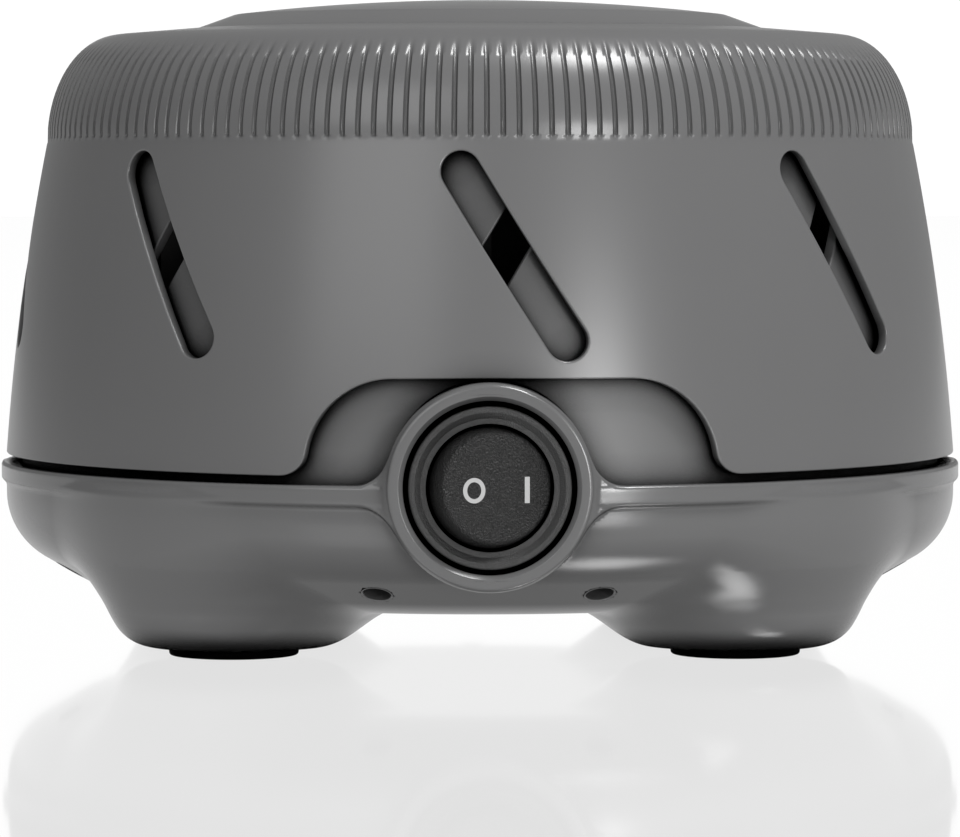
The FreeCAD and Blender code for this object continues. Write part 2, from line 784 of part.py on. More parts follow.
def rocker():
    """Rocker: a round face on a ball-shaped skirt, its stem and pivot pins, pressed at I."""
    centre = FreeCAD.Vector(0, pivot_y, switch_z)
    ball = Part.makeSphere(rocker_ball_radius, centre)
    face_y = pivot_y - rocker_face_height
    skirt_y = pivot_y - rocker_skirt_height
    skirt = ball.common(rod_y(rocker_ball_radius + margin, face_y, skirt_y, 0, switch_z))
    flanks = ball.common(block(-rocker_ball_radius, rocker_ball_radius, skirt_y - margin / 2,
                               pivot_y - rocker_flank_height, switch_z - rocker_flank_half,
                               switch_z + rocker_flank_half))
    stem = block(-rocker_stem_half_x, rocker_stem_half_x, skirt_y - margin / 2,
                 pivot_y + rocker_stem_depth, switch_z - rocker_stem_half_z,
                 switch_z + rocker_stem_half_z)
    pins = rocker_pins(0, switch_radius - switch_wall + pivot_reach)
    body = joined([skirt, flanks, stem, pins])
    body.rotate(centre, up, rocker_tilt)
    return body


def cord_gland():
    """Bush in the cord inlet: flange on the pad, a short nose, and a bore for the cord."""
    body = rod_y(gland_radius, inlet_inner_y, inlet_pad_y, 0, inlet_z)
    flange = rod_y(gland_flange_radius, inlet_pad_y, inlet_pad_y + gland_flange_thickness, 0, inlet_z)
    nose = rod_y(gland_nose_radius, inlet_pad_y, front_reach, 0, inlet_z)
    bore = rod_y(gland_bore_radius, inlet_inner_y - margin, front_reach + margin, 0, inlet_z)
    return joined([body, flange, nose]).cut(bore)


def motor_plate():
    """Steel plate with rounded corners, grommet holes, screw holes and a hole for the shaft."""
    plate = block(-plate_half_x, plate_half_x, -plate_half_y, plate_half_y, plate_z, plate_top_z)
    upright = [edge for edge in plate.Edges if edge.BoundBox.ZLength > plate_thickness / 2]
    plate = plate.makeFillet(plate_corner_radius, upright)
    low = plate_z - margin
    high = plate_top_z + margin
    holes = [disc(plate_hole_radius, low, high)]
    for x in (-mount_x, mount_x):
        holes += [disc(grommet_neck_radius + shade_gap, low, high, x, y) for y in (-mount_y, mount_y)]
    for x in (-motor_screw_x, motor_screw_x):
        holes += [disc(motor_screw_radius + motor_screw_gap, low, high, x, 0)]
    return plate.cut(holes)


def plate_grommets():
    grommets = []
    for x in (-mount_x, mount_x):
        for y in (-mount_y, mount_y):
            body = tube(grommet_radius, screw_radius + screw_hole_gap, mount_post_top_z,
                        grommet_top_z, x, y)
            groove = tube(grommet_radius + margin, grommet_neck_radius, plate_z - shade_gap,
                          plate_top_z + shade_gap, x, y)
            grommets += [body.cut(groove)]
    return Part.makeCompound(grommets)


def plate_screws():
    screws = []
    for x in (-mount_x, mount_x):
        for y in (-mount_y, mount_y):
            head = disc(plate_screw_head_radius, grommet_top_z,
                        grommet_top_z + plate_screw_head_height, x, y)
            shank = disc(screw_radius, grommet_top_z - plate_screw_length,
                         grommet_top_z + margin / 10, x, y)
            screws += [joined([head, shank])]
    return Part.makeCompound(screws)


def stator_core():
    """Lamination stack: a frame with the rotor's bore, the coil's window and shading slots."""
    low = stack_z
    high = stack_top_z
    stack = block(-stack_half_x, stack_half_x, stack_front_y, stack_back_y, low, high)
    window = block(-window_half_x, window_half_x, window_front_y, leg_front_y, low - margin,
                   high + margin)
    cutters = [window, disc(bore_radius, low - margin, high + margin)]
    for x in (-motor_screw_x, motor_screw_x):
        cutters += [disc(motor_screw_radius + motor_screw_gap, low - margin, high + margin, x, 0)]
    for sign in (-1, 1):
        half = shade_wire / 2 + shade_gap
        cutters += [block(sign * shade_x - half, sign * shade_x + half, sign * shade_slot_y - half,
                          sign * shade_slot_y + half, low - margin, high + margin)]
    return stack.cut(cutters)


def shading_rings():
    """Copper loops round a strip of each pole, one at the front and one at the window."""
    rings = []
    half = shade_wire / 2
    edges_y = {1: window_front_y, -1: -stack_front_y}
    for sign in (1, -1):
        near = shade_slot_y - half
        far = edges_y[sign] + shade_gap + shade_wire
        low_y, high_y = sorted((sign * near, sign * far))
        x = sign * shade_x
        outer = block(x - half, x + half, low_y, high_y, stack_z - shade_gap - shade_wire,
                      stack_top_z + shade_gap + shade_wire)
        inner = block(x - shade_wire, x + shade_wire, low_y + shade_wire, high_y - shade_wire,
                      stack_z - shade_gap, stack_top_z + shade_gap)
        rings += [outer.cut(inner)]
    return Part.makeCompound(rings)


def around_leg(grow, half_x):
    """A block round the coil leg, grown by a distance on its four sides."""
    return block(-half_x, half_x, leg_front_y - grow, stack_back_y + grow, stack_z - grow,
                 stack_top_z + grow)


def coil_bobbin():
    half_x = window_half_x - bobbin_gap
    outer = bobbin_gap + bobbin_wall
    core = around_leg(outer, half_x)
    flange = around_leg(outer + winding_depth + bobbin_wall / 2, half_x)
    gap = around_leg(outer + winding_depth + margin, half_x - bobbin_flange)
    spool = joined([core, flange.cut(gap)])
    return spool.cut(around_leg(bobbin_gap, half_x + margin))


def coil_winding():
    half_x = window_half_x - bobbin_gap - bobbin_flange - winding_gap
    inner = bobbin_gap + bobbin_wall + winding_gap
    coil = around_leg(inner + winding_depth - winding_gap, half_x)
    along = [edge for edge in coil.Edges if edge.BoundBox.XLength > half_x]
    coil = coil.makeFillet(winding_corner_radius, along)
    return coil.cut(around_leg(inner, half_x + margin))


def bracket():
    """Bearing bracket above the stack: two tabs, two legs and a web with the bearing's hole."""
    low = stack_top_z
    high = low + bracket_rise
    half_y = bracket_half_y
    outside = block(-bracket_leg_x, bracket_leg_x, -half_y, half_y, low, high)
    inside_x = bracket_leg_x - bracket_thickness
    inside = block(-inside_x, inside_x, -half_y - margin, half_y + margin, low - margin,
                   high - bracket_thickness)
    tabs = block(-bracket_half_x, bracket_half_x, -half_y, half_y, low, low + bracket_thickness)
    cutters = [inside, disc(bearing_radius + bearing_gap, low, high + margin)]
    for x in (-motor_screw_x, motor_screw_x):
        cutters += [disc(motor_screw_radius + motor_screw_gap, low - margin, high, x, 0)]
    return joined([outside, tabs]).cut(cutters)


def lower_side(shape):
    """Mirrored copy below the middle of the stack."""
    middle = FreeCAD.Vector(0, 0, stack_z + stack_height / 2)
    return shape.mirror(middle, up)


def upper_bearing():
    return tube(bearing_radius, shaft_radius + shaft_fit, stack_top_z + bracket_rise - bearing_length,
                stack_top_z + bracket_rise + margin / 5)


def thrust_washers():
    upper = tube(washer_radius, shaft_radius + fan_fit, rotor_high_z, rotor_high_z + washer_thickness)
    return Part.makeCompound([upper, lower_side(upper)])


def motor_spacers():
    top_z = stack_z - bracket_thickness
    spacers = [
        tube(spacer_radius, motor_screw_radius + motor_screw_gap, plate_top_z, top_z, x, 0)
        for x in (-motor_screw_x, motor_screw_x)
    ]
    return Part.makeCompound(spacers)


def motor_screws():
    screws = []
    seat_z = stack_top_z + bracket_thickness
    for x in (-motor_screw_x, motor_screw_x):
        head = disc(motor_screw_head_radius, seat_z, seat_z + motor_screw_head_height, x, 0)
        shank = disc(motor_screw_radius, plate_z - motor_nut_height - margin / 2,
                     seat_z + margin / 10, x, 0)
        screws += [joined([head, shank])]
    return Part.makeCompound(screws)


def motor_nuts():
    """Hexagon nuts under the plate."""
    nuts = []
    for x in (-motor_screw_x, motor_screw_x):
        corners = []
        for angle in even_angles(6) + [0.0]:
            corners += [FreeCAD.Vector(x + motor_nut_radius * math.cos(math.radians(angle)),
                                       motor_nut_radius * math.sin(math.radians(angle)),
                                       plate_z - motor_nut_height)]
        nut = Part.Face(Part.makePolygon(corners)).extrude(up * motor_nut_height)
        hole = disc(motor_screw_radius + screw_gap, plate_z - motor_nut_height - margin,
                    plate_z + margin, x, 0)
        nuts += [nut.cut(hole)]
    return Part.makeCompound(nuts)


def rotor_core():
    body = disc(rotor_radius, stack_z, stack_top_z)
    rings = disc(rotor_ring_radius, rotor_low_z, rotor_high_z)
    bore = disc(shaft_radius + fan_fit, rotor_low_z - margin, rotor_high_z + margin)
    return joined([body, rings]).cut(bore)


def motor_shaft():
    return disc(shaft_radius, shaft_bottom_z, shaft_top_z)


def blade():
    """One curved fan blade, as a band between two arcs, from the disc up."""
    sweep = math.radians(fan_blade_sweep)
    low_z = fan_disc_z + fan_disc_thickness / 2
    outer_r = fan_radius - fan_blade_thickness

    def spot(radius, angle, side):
        x = radius * math.cos(angle)
        y = radius * math.sin(angle) + side * fan_blade_thickness / 2
        return FreeCAD.Vector(x, y, low_z)

    middle_r = (fan_blade_inner_radius + outer_r) / 2
    middle_angle = sweep / 2 + math.radians(fan_blade_belly)
    rows = []
    for side in (-1, 1):
        rows += [(spot(fan_blade_inner_radius, 0, side), spot(middle_r, middle_angle, side),
                  spot(outer_r, sweep, side))]
    edges = [
        Part.Arc(rows[0][0], rows[0][1], rows[0][2]).toShape(),
        Part.makeLine(rows[0][2], rows[1][2]),
        Part.Arc(rows[1][2], rows[1][1], rows[1][0]).toShape(),
        Part.makeLine(rows[1][0], rows[0][0]),
    ]
    height = fan_disc_thickness / 2 + fan_blade_height
    return Part.Face(Part.Wire(edges)).extrude(up * height)


def fan():
    """Fan: a disc on a hub, with curved blades that stand on it."""
    plate = disc(fan_radius, fan_disc_z, fan_disc_z + fan_disc_thickness)
    hub = disc(fan_hub_radius, fan_hub_low_z, fan_hub_top_z)
    body = joined([plate, hub] + around(blade(), even_angles(fan_blade_count)))
    return body.cut(disc(shaft_radius + fan_fit, fan_hub_low_z - margin, fan_hub_top_z + margin))


def fan_clip():
    return tube(clip_radius, shaft_radius + fan_fit, fan_hub_top_z, fan_hub_top_z + clip_thickness)


def lead(points):
    """An insulated wire: straight runs joined by tangent arcs, as one round tube."""
    vectors = [FreeCAD.Vector(*place) for place in points]
    edges = []
    start = vectors[0]
    for before, corner, after in zip(vectors, vectors[1:], vectors[2:]):
        into = (corner - before).normalize()
        out = (after - corner).normalize()
        half_turn = into.getAngle(out) / 2
        trim = lead_bend * math.tan(half_turn)
        first = corner - into * trim
        last = corner + out * trim
        inward = (out - into).normalize()
        middle = corner + inward * (lead_bend / math.cos(half_turn) - lead_bend)
        edges += [Part.makeLine(start, first), Part.Arc(first, middle, last).toShape()]
        start = last
    edges += [Part.makeLine(start, vectors[-1])]
    path = Part.Wire(edges)
    circle = Part.Wire(Part.makeCircle(lead_radius, vectors[0], vectors[1] - vectors[0]))
    return path.makePipeShell([circle], True, False)


def terminal_end(sign):
    """Where a lead meets a switch terminal's blade end."""
    return (sign * terminal_spacing / 2, switch_back_y + terminal_length + lead_gap, switch_z)


def splice_end(sign):
    """Where a lead enters a splice cap's mouth."""
    return (sign * splice_x, splice_front_y + lead_gap, floor_z + splice_radius)


def coil_end(sign, z):
    """Where a lead leaves the coil bobbin's outer flange, on the side away from the rotor."""
    return (sign * (window_half_x + lead_gap), stack_back_y + winding_depth / 2, z)


def coil_lead_to_switch():
    x, y, z = terminal_end(-1)
    low_z = stack_z - winding_depth / 2
    start = coil_end(-1, low_z)
    return lead([
        start,
        (start[0] - lead_sidestep, start[1], low_z),
        (-lead_side_x, mount_y, low_z),
        (-lead_side_x, lead_front_y, low_z),
        (x, lead_front_y, switch_z),
        (x, y, z),
    ])


def coil_lead_to_splice():
    x, y, z = splice_end(-1)
    start = coil_end(-1, stack_top_z)
    return lead([
        start,
        (-lead_side_x + lead_bend, start[1], stack_top_z),
        (-lead_side_x + lead_bend, y - splice_length, z),
        (x, y - splice_length, z),
        (x, y, z),
    ])


def switch_lead_to_splice():
    x, y, z = terminal_end(1)
    end_x, end_y, end_z = splice_end(1)
    return lead([
        (x, y, z),
        (x, lead_front_y, z),
        (lead_side_x, lead_front_y, lead_low_z),
        (lead_side_x, end_y - splice_length, lead_low_z),
        (end_x, end_y - splice_length, end_z),
        (end_x, end_y, end_z),
    ])


def splice_caps():
    """Closed-end caps that join the leads to the supply, lying on the base's floor."""
    caps = []
    for x in (-splice_x, splice_x):
        z = floor_z + splice_radius
        cap = rod_y(splice_radius, splice_front_y, splice_front_y + splice_length, x, z)
        mouth = rod_y(lead_radius + lead_gap, splice_front_y - margin,
                      splice_front_y + splice_length / 2, x, z)
        caps += [cap.cut(mouth)]
    return Part.makeCompound(caps)


def main():
    pad_names = {45: "front_right", 135: "rear_right", 225: "rear_left", 315: "front_left"}
    write("base_housing", base_housing())
    for angle in foot_angles:
        write("foot_pad_" + pad_names[angle], turn(foot_pad(), angle))
    write("housing_screws", Part.makeCompound(around(housing_screw(), foot_angles)))
    write("inner_shell", inner_shell())
    write("pivot_washer", pivot_washer())
    write("pivot_screw", pivot_screw())
    write("cord_gland", cord_gland())
    write("switch_body", switch_body())
    write("switch_terminals", switch_terminals())
    write("motor_plate", motor_plate())
    write("plate_grommets", plate_grommets())
    write("plate_screws", plate_screws())
    write("stator_core", stator_core())
    write("shading_rings", shading_rings())
    write("coil_bobbin", coil_bobbin())
    write("coil_winding", coil_winding())
    write("upper_bracket", bracket())
    write("lower_bracket", lower_side(bracket()))
    write("upper_bearing", upper_bearing())
    write("lower_bearing", lower_side(upper_bearing()))
    write("motor_spacers", motor_spacers())
    write("motor_screws", motor_screws())
    write("motor_nuts", motor_nuts())
    write("coil_lead_to_switch", coil_lead_to_switch())
    write("coil_lead_to_splice", coil_lead_to_splice())
    write("switch_lead_to_splice", switch_lead_to_splice())
    write("splice_caps", splice_caps())
    write("outer_cap", outer_cap())
    write("cap_crown", cap_crown())
    write("rotor_core", rotor_core())
    write("motor_shaft", motor_shaft())
    write("thrust_washers", thrust_washers())
    write("fan", fan())
    write("fan_clip", fan_clip())
    write("rocker", rocker())


main()
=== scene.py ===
import math

import bmesh
import bpy
import numpy as np
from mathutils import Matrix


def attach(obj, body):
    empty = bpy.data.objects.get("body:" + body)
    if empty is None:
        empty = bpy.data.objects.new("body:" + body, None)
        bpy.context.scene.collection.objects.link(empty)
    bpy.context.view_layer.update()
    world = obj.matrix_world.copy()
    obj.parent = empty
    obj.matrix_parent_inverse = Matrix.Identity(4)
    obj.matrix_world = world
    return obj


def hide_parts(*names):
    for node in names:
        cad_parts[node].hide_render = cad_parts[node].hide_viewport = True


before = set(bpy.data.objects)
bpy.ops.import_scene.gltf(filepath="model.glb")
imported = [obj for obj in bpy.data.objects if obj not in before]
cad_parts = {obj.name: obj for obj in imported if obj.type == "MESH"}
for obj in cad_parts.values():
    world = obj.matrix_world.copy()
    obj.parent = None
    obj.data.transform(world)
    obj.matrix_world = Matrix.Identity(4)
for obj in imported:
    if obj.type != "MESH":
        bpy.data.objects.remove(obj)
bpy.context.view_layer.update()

import openvdb
from mathutils import Vector
from mathutils.geometry import delaunay_2d_cdt

# The looks of a round sound machine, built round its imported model. Sizes here are in
# millimetres and degrees, and meshes are written in metres. Angles are from the front,
# positive towards +X.

MM = 0.001
TINY = 1e-9
AXIS_RADIUS = 0.02
WELD = 0.004

# Camera, fitted to the photograph's 960 x 837 frame
VIEW_DISTANCE = 800.0
VIEW_HEIGHT = 72.4
VIEW_AZIMUTH = -1.1
VIEW_PITCH = 2.84
FOCAL_PIXELS = 5220.0
IMAGE_WIDTH = 960
SENSOR_WIDTH = 36.0

# Cap's outline
CAP_REST = 2.75
FOOT_Z = 27.9
FOOT_RADIUS = 72.35
BAND_Z = 75.0
BAND_RADIUS = 66.0
BAND_STEP = 0.05
BAND_DRAW = 0.01
BAND_ROW_RISE = 0.25
BAND_ROWS = 4
FLANK_BULGE = 0.75
SHOULDER_REACH = 11.0
SHOULDER_RISE = 16.3
SHOULDER_FLAT = 0.8
SHOULDER_START_Z = 76.6
RIM_Z = 92.25
RIM_RADIUS = 43.75
SEAT_Z = 90.4
CAP_WALL = 1.6
EDGE_ROUND = 0.28
HUB_RADIUS = 9.0
HUB_HOLE_RADIUS = 5.6
HUB_RISE = 0.6
CAP_TOP_ROWS = [(52.0, 91.57), (48.0, 91.9), (RIM_RADIUS + 0.5, 92.22), (RIM_RADIUS + 0.12, 92.12),
                (RIM_RADIUS, 91.9), (RIM_RADIUS, SEAT_Z)]

# Grip band
GROOVES = 180
GROOVE_DEPTH = 0.38
GROOVE_LOW_Z = 75.5
GROOVE_HIGH_Z = 89.6
GROOVE_HALF = 0.42
GROOVE_COLUMNS = (-0.42, -0.28, -0.1, 0.1, 0.28, 0.42, 0.9, 1.4)
GROOVE_RUN_IN = 0.7
GROOVE_RUN_OUT = 2.6
BAND_START_Z = 74.6

# Sound slots
SLOT_COUNT = 8
SLOT_WIDTH = 5.85
SLOT_RUN = 14.8
SLOT_RISE = 23.7
SLOT_Z = 58.9
INNER_PHASE = 1.5

# Arch over the switch
ARCH_HALF = 29.3
ARCH_TOP_Z = 41.7
ARCH_CORNER = 12.0
ARCH_FLARE = 3.6

# Mesh of the rolled walls: spacings, and how far round a slot or the arch is looked for
SHEET_STEP = 1.6
SHEET_STRETCH = 1.4
SHEET_CLEAR = 0.55
SHEET_BLOCK = 2000
FOOT_LINE_STEPS = 140
SEAM_MARGIN = 0.2
SLOT_REACH = 0.3
ARCH_REACH = 1.3
ARCH_WINDOW = 1.35
WINDOW_DROP = 5.0
PROBE = 0.05
SKIN_DEPTH = 0.02
FACING_OUT = 0.9

# Inner shell
SHELL_INSET = 2.45
SHELL_WALL = 1.8
SHELL_FOOT_Z = 24.3
SHELL_TOP_Z = 87.9
SHELL_TOP_RADIUS = 57.0
SHELL_TOP_CLEAR = 2.0
NOTCH_CLEAR = 0.55
POST_RADIUS = 5.5
POST_RISE = 3.3

# Crown
CROWN_RADIUS = 43.6
CROWN_EDGE_Z = 92.2
CROWN_CREASE_RADIUS = 37.5
CROWN_CREASE_Z = 94.4
CROWN_TOP_Z = 96.6
CROWN_WALL = 1.6
CROWN_SEAT_GAP = 0.05
CROWN_RABBET = 0.6
CROWN_ROUNDS = [0.5, 2.5]

# Base
BASE_RADIUS = 72.35
BASE_TURN = 11.0
BASE_TURN_Z = 22.0
BASE_SLOPE = 30.3
BASE_BOTTOM_Z = 7.3
BASE_WALL = 2.4
BASE_EDGE = 2.0
BASE_LOW = (-74.5, -74.5, 1.2)
BASE_HIGH = (74.5, 74.5, 41.5)
BASE_VOXEL = 0.45
LIP_RADIUS = 73.0
LIP_LOW_Z = 24.0
LIP_TOP_Z = 26.6
LIP_BLEND = 1.0
LIP_EDGE = 0.5
LEDGE_Z = 24.2
LEDGE_RADIUS = 67.0
LEDGE_EDGE = 0.1
WELL_DROP = 3.0
RIM_INNER_RADIUS = 70.6
FOOT_CIRCLE = 52.0
FOOT_SIZE = 19.0
FOOT_EDGE = 5.5
FOOT_TAPER = 0.12
FOOT_TAPER_Z = 14.0
FOOT_LOW_Z = 1.4
FOOT_BLEND = 8.0
PAD_RADIUS = 9.5
PAD_TOP_Z = 2.2
PAD_CLEAR = 0.1
PAD_ROUNDS = [0.5, 0.1]
VENT_RADIUS = 2.0
VENT_RIM = 0.3
VENT_PROUD = 0.04
VENT_CHAMFER = 0.12
VENT_DRAFT = 0.06
VENT_CUT = 6.0
VENT_OFFSET = 14.3
VENT_CIRCLE = 64.0

# Switch boss and switch
SWITCH_Z = 26.6
BOSS_RADIUS = 14.35
BOSS_BORE = 12.2
BOSS_CHAMFER = 0.65
BOSS_FRONT_Y = -73.8
BOSS_BACK_Y = -64.0
BOSS_BLEND = 5.0
BOSS_EDGE = 0.3
BOSS_FILLET = 0.4
WING_BLEND = 1.5
WING_EDGE = 0.4
RING_COVER = 0.12
RING_LENGTH = 5.6
PANEL_DEPTH = 3.6
PANEL_HOLE = 10.1
RING_ROUNDS = [0.5, 0.15, 0.15, 0.1, 0.1]
BEZEL_RADIUS = 11.5
BEZEL_FRONT_Y = -73.4
BEZEL_DEPTH = 3.2
BEZEL_FACE = [(BEZEL_RADIUS, -BEZEL_DEPTH), (BEZEL_RADIUS, 0.0), (10.6, 0.0), (9.75, -0.5),
              (8.95, -0.5), (8.95, -1.3), (9.35, -1.3), (9.35, -4.2)]
BEZEL_ROUNDS = [0.35, 0.2, 0.12, 0.12, 0.05, 0.05]
BEZEL_WELL = [(8.4, -4.2), (8.4, -11.0), (AXIS_RADIUS, -11.0), (AXIS_RADIUS, -14.6),
              (10.0, -14.6), (10.0, -BEZEL_DEPTH)]
PIVOT_Y = -69.0
ROCKER_TILT = 12.0
ROCKER_BALL = 9.2
ROCKER_FACE = 5.0
ROCKER_EDGE = 0.35
ROCKER_BACK = 1.2
ROCKER_LOW = (-10.0, -77.0, SWITCH_Z - 9.6)
ROCKER_HIGH = (10.0, -66.0, SWITCH_Z + 9.6)
ROCKER_VOXEL = 0.18
MARK_OFF_X = -3.35
MARK_ON_X = 4.25
MARK_RING = (1.60, 1.78, 0.60)
MARK_BAR = (0.36, 1.84)
MARK_DROP = 0.25
MARK_THICK = 0.03
INLET_Z = 16.2
INLET_RADIUS = 7.6
INLET_Y = 72.6
INLET_EDGE = 0.4
INLET_BLEND = 1.5
GLAND_HOLE = 5.2

# Settling a mesh onto its distance function
GRADIENT_STEP = 0.02
LEAST_SLOPE = 0.25
LONGEST_MOVE = 0.3

# Fan
FAN_RADIUS = 46.0
FAN_DISC_Z = 52.0
FAN_THICKNESS = 1.4
FAN_HUB_RADIUS = 6.0
FAN_HUB_DROP = 2.0
FAN_HUB_RISE = 7.0
FAN_BLADES = 8
FAN_BLADE_HEIGHT = 19.0
BLADE_INNER_RADIUS = 20.0
BLADE_TIP_RADIUS = 48.8
BLADE_SWEEP = math.radians(22)
BLADE_BELLY = math.radians(4)
FAN_ROUNDS = [0.3, 0.5, 0.4, 0.4, 1.0, 0.4]

# Materials: painted shade, as the openness and the downward slope between which a surface's colour
# darkens, and the broad pattern
CREVICE_REACH = 5.0
CREVICE_SAMPLES = 6
CREVICE_SHUT = 0.45
CREVICE_OPEN = 0.92
DOWN_FULL = -0.85
DOWN_START = -0.25
MOTTLING_SCALE = 45.0
GLOSS_SPREAD = 0.01
WHITE = (1, 1, 1, 1)

# Stage, in metres: a panel behind the object and a floor, as half width, distance and height
PANEL_HALF = 0.8
PANEL_AWAY = 5.9
PANEL_HIGH = 0.9
PANEL_GLOW = 1.05
FLOOR_HALF = 6.0
FLOOR_GLOW = 0.98
FLOOR_SHINE = 0.24
FLOOR_ROUGHNESS = 0.06
SKY_GLOW = 0.30

# Lights: name, place, target, width, height in metres and power in watts
LIGHTS = [
    ("key_top", (0.36, -0.27, 1.0), (0, 0, 0.06), 0.30, 0.30, 10.0),
    ("low_front", (0.48, -0.98, 0.12), (0, 0, 0.02), 0.22, 0.20, 4.0),
    ("front_left", (-0.5, -1.0, 0.55), (0, 0, 0.05), 0.7, 0.7, 3.5),
]


def join_grids(parts):
    """One vertex array and one face list from several (vertices, faces) pairs."""
    vertices = []
    faces = []
    for points, polygons in parts:
        start = sum(len(v) for v in vertices)
        vertices.append(np.asarray(points, float))
        faces += [[index + start for index in polygon] for polygon in polygons]
    return np.concatenate(vertices), faces


def piece(name, vertices, faces, material, body, replaced=(), weld=0.0):
    """A mesh object from millimetre points, welded, smooth and riding on a body."""
    mesh = bpy.data.meshes.new(name)
    mesh.from_pydata((np.asarray(vertices) * MM).tolist(), [], faces)
    mesh.validate()
    if weld:
        work = bmesh.new()
        work.from_mesh(mesh)
        bmesh.ops.remove_doubles(work, verts=work.verts, dist=weld * MM)
        work.to_mesh(mesh)
        work.free()
    mesh.polygons.foreach_set("use_smooth", [True] * len(mesh.polygons))
    mesh.update()
    thing = bpy.data.objects.new(name, mesh)
    bpy.context.scene.collection.objects.link(thing)
    mesh.materials.append(material)
    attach(thing, body)
    if replaced:
        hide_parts(*replaced)
    return thing


def sharpen(thing, degrees):
    """Marks edges sharper than an angle, so that smooth shading stops at them."""
    thing.data.set_sharp_from_angle(angle=math.radians(degrees))


def polar(radius, angle, height):
    """Points from radius, angle in radians from the front, and height."""
    return np.stack([radius * np.sin(angle), -radius * np.cos(angle), height], axis=-1)


def lathe(profile, columns, turn=0.0, closed=False):
    """A surface turned about Z from (radius, height) rows at the given angles in radians."""
    rows = np.asarray(profile, float)
    angles = np.asarray(columns, float) + math.radians(turn)
    radius, angle = np.meshgrid(rows[:, 0], angles, indexing="ij")
    height = np.repeat(rows[:, 1][:, None], len(angles), axis=1)
    points = polar(radius, angle, height).reshape(-1, 3)
    return points, wrap_faces(len(rows), len(angles), closed)


def wrap_faces(row_count, column_count, closed=False):
    """Quads between rows of points that go once round, the last row joined to the first if closed."""
    faces = []
    last = row_count if closed else row_count - 1
    for row in range(last):
        upper = (row + 1) % row_count
        for column in range(column_count):
            following = (column + 1) % column_count
            faces.append([row * column_count + column, row * column_count + following,
                          upper * column_count + following, upper * column_count + column])
    return faces


def strip_faces(row_count, count, closed):
    """Quads between rows of points, each row joined end to end if closed."""
    faces = []
    for row in range(row_count - 1):
        for column in range(count if closed else count - 1):
            following = (column + 1) % count
            faces.append([row * count + column, (row + 1) * count + column,
                          (row + 1) * count + following, row * count + following])
    return faces


def even_turn(count):
    """Evenly spaced angles round a full turn."""
    return np.arange(count) * 2 * math.pi / count


def rounded(points, radii, steps=5):
    """An open outline with each inner corner rounded by its radius."""
    corners = [np.asarray(p, float) for p in points]
    result = [corners[0]]
    for before, corner, after, radius in zip(corners, corners[1:], corners[2:], radii):
        into = (corner - before) / np.linalg.norm(corner - before)
        out = (after - corner) / np.linalg.norm(after - corner)
        turn = math.acos(max(-1.0, min(1.0, float(into @ out))))
        if radius <= 0 or turn < TINY:
            result.append(corner)
            continue
        trim = radius * math.tan(turn / 2)
        start = corner - into * trim
        end = corner + out * trim
        for step in range(steps + 1):
            share = step / steps
            result.append((1 - share) ** 2 * start + 2 * share * (1 - share) * corner
                          + share ** 2 * end)
    result.append(corners[-1])
    return result


def flank_radius(z):
    """The cap's slightly bulging outer flank at a height."""
    share = (BAND_Z - z) / (BAND_Z - FOOT_Z)
    return BAND_RADIUS + (FOOT_RADIUS - BAND_RADIUS) * share + FLANK_BULGE * 4 * share * (1 - share)


def shoulder_rows(inset, count):
    """(radius, height) rows up the cap's shoulder, from the band to the flat top."""
    reach = SHOULDER_REACH - inset
    rise = SHOULDER_RISE - inset
    last = math.acos(SHOULDER_FLAT / reach)
    rows = []
    for step in range(count + 1):
        angle = last * step / count
        rows.append((BAND_RADIUS - SHOULDER_REACH + reach * math.cos(angle),
                     BAND_Z + rise * math.sin(angle)))
    return rows


def slot_outline(lean, points=14):
    """A slanted round-ended outline with outward material normals, in a flat front plane."""
    half_run = lean * SLOT_RUN / 2
    half_rise = SLOT_RISE / 2
    along = math.atan2(half_rise, half_run)
    centres = [(half_run, half_rise), (-half_run, -half_rise)]
    places = []
    normals = []
    for index, (x, z) in enumerate(centres):
        start = along - math.pi / 2 + index * math.pi
        for step in range(points + 1):
            angle = start + math.pi * step / points
            normal = (math.cos(angle), math.sin(angle))
            places.append((x + SLOT_WIDTH / 2 * normal[0], SLOT_Z + z + SLOT_WIDTH / 2 * normal[1]))
            normals.append(normal)
        following = centres[1 - index]
        edge_normal = (math.cos(start + math.pi), math.sin(start + math.pi))
        for share in (0.2, 0.4, 0.6, 0.8):
            cx = x + (following[0] - x) * share
            cz = z + (following[1] - z) * share
            places.append((cx + SLOT_WIDTH / 2 * edge_normal[0],
                           SLOT_Z + cz + SLOT_WIDTH / 2 * edge_normal[1]))
            normals.append(edge_normal)
    return np.array(places), np.array(normals)


def arch_outline(low_z):
    """Half of the arch's outline from its foot to its middle, with material normals."""
    corner = (ARCH_HALF - ARCH_CORNER, ARCH_TOP_Z - ARCH_CORNER)
    reach = ARCH_CORNER + ARCH_FLARE
    lean = math.asin((low_z + ARCH_FLARE - corner[1]) / reach)
    flare = (corner[0] + reach * math.cos(lean), low_z + ARCH_FLARE)
    places = []
    normals = []
    for angle in np.linspace(0, math.pi / 2 - lean, 9):
        normal = (math.sin(angle), math.cos(angle))
        places.append((flare[0] - ARCH_FLARE * normal[0], flare[1] - ARCH_FLARE * normal[1]))
        normals.append(normal)
    for angle in np.linspace(lean, math.pi / 2, 15)[1:]:
        normal = (math.cos(angle), math.sin(angle))
        places.append((corner[0] + ARCH_CORNER * normal[0], corner[1] + ARCH_CORNER * normal[1]))
        normals.append(normal)
    for x in np.linspace(corner[0], 0, 9)[1:]:
        places.append((x, ARCH_TOP_Z))
        normals.append((0.0, 1.0))
    return np.array(places), np.array(normals)


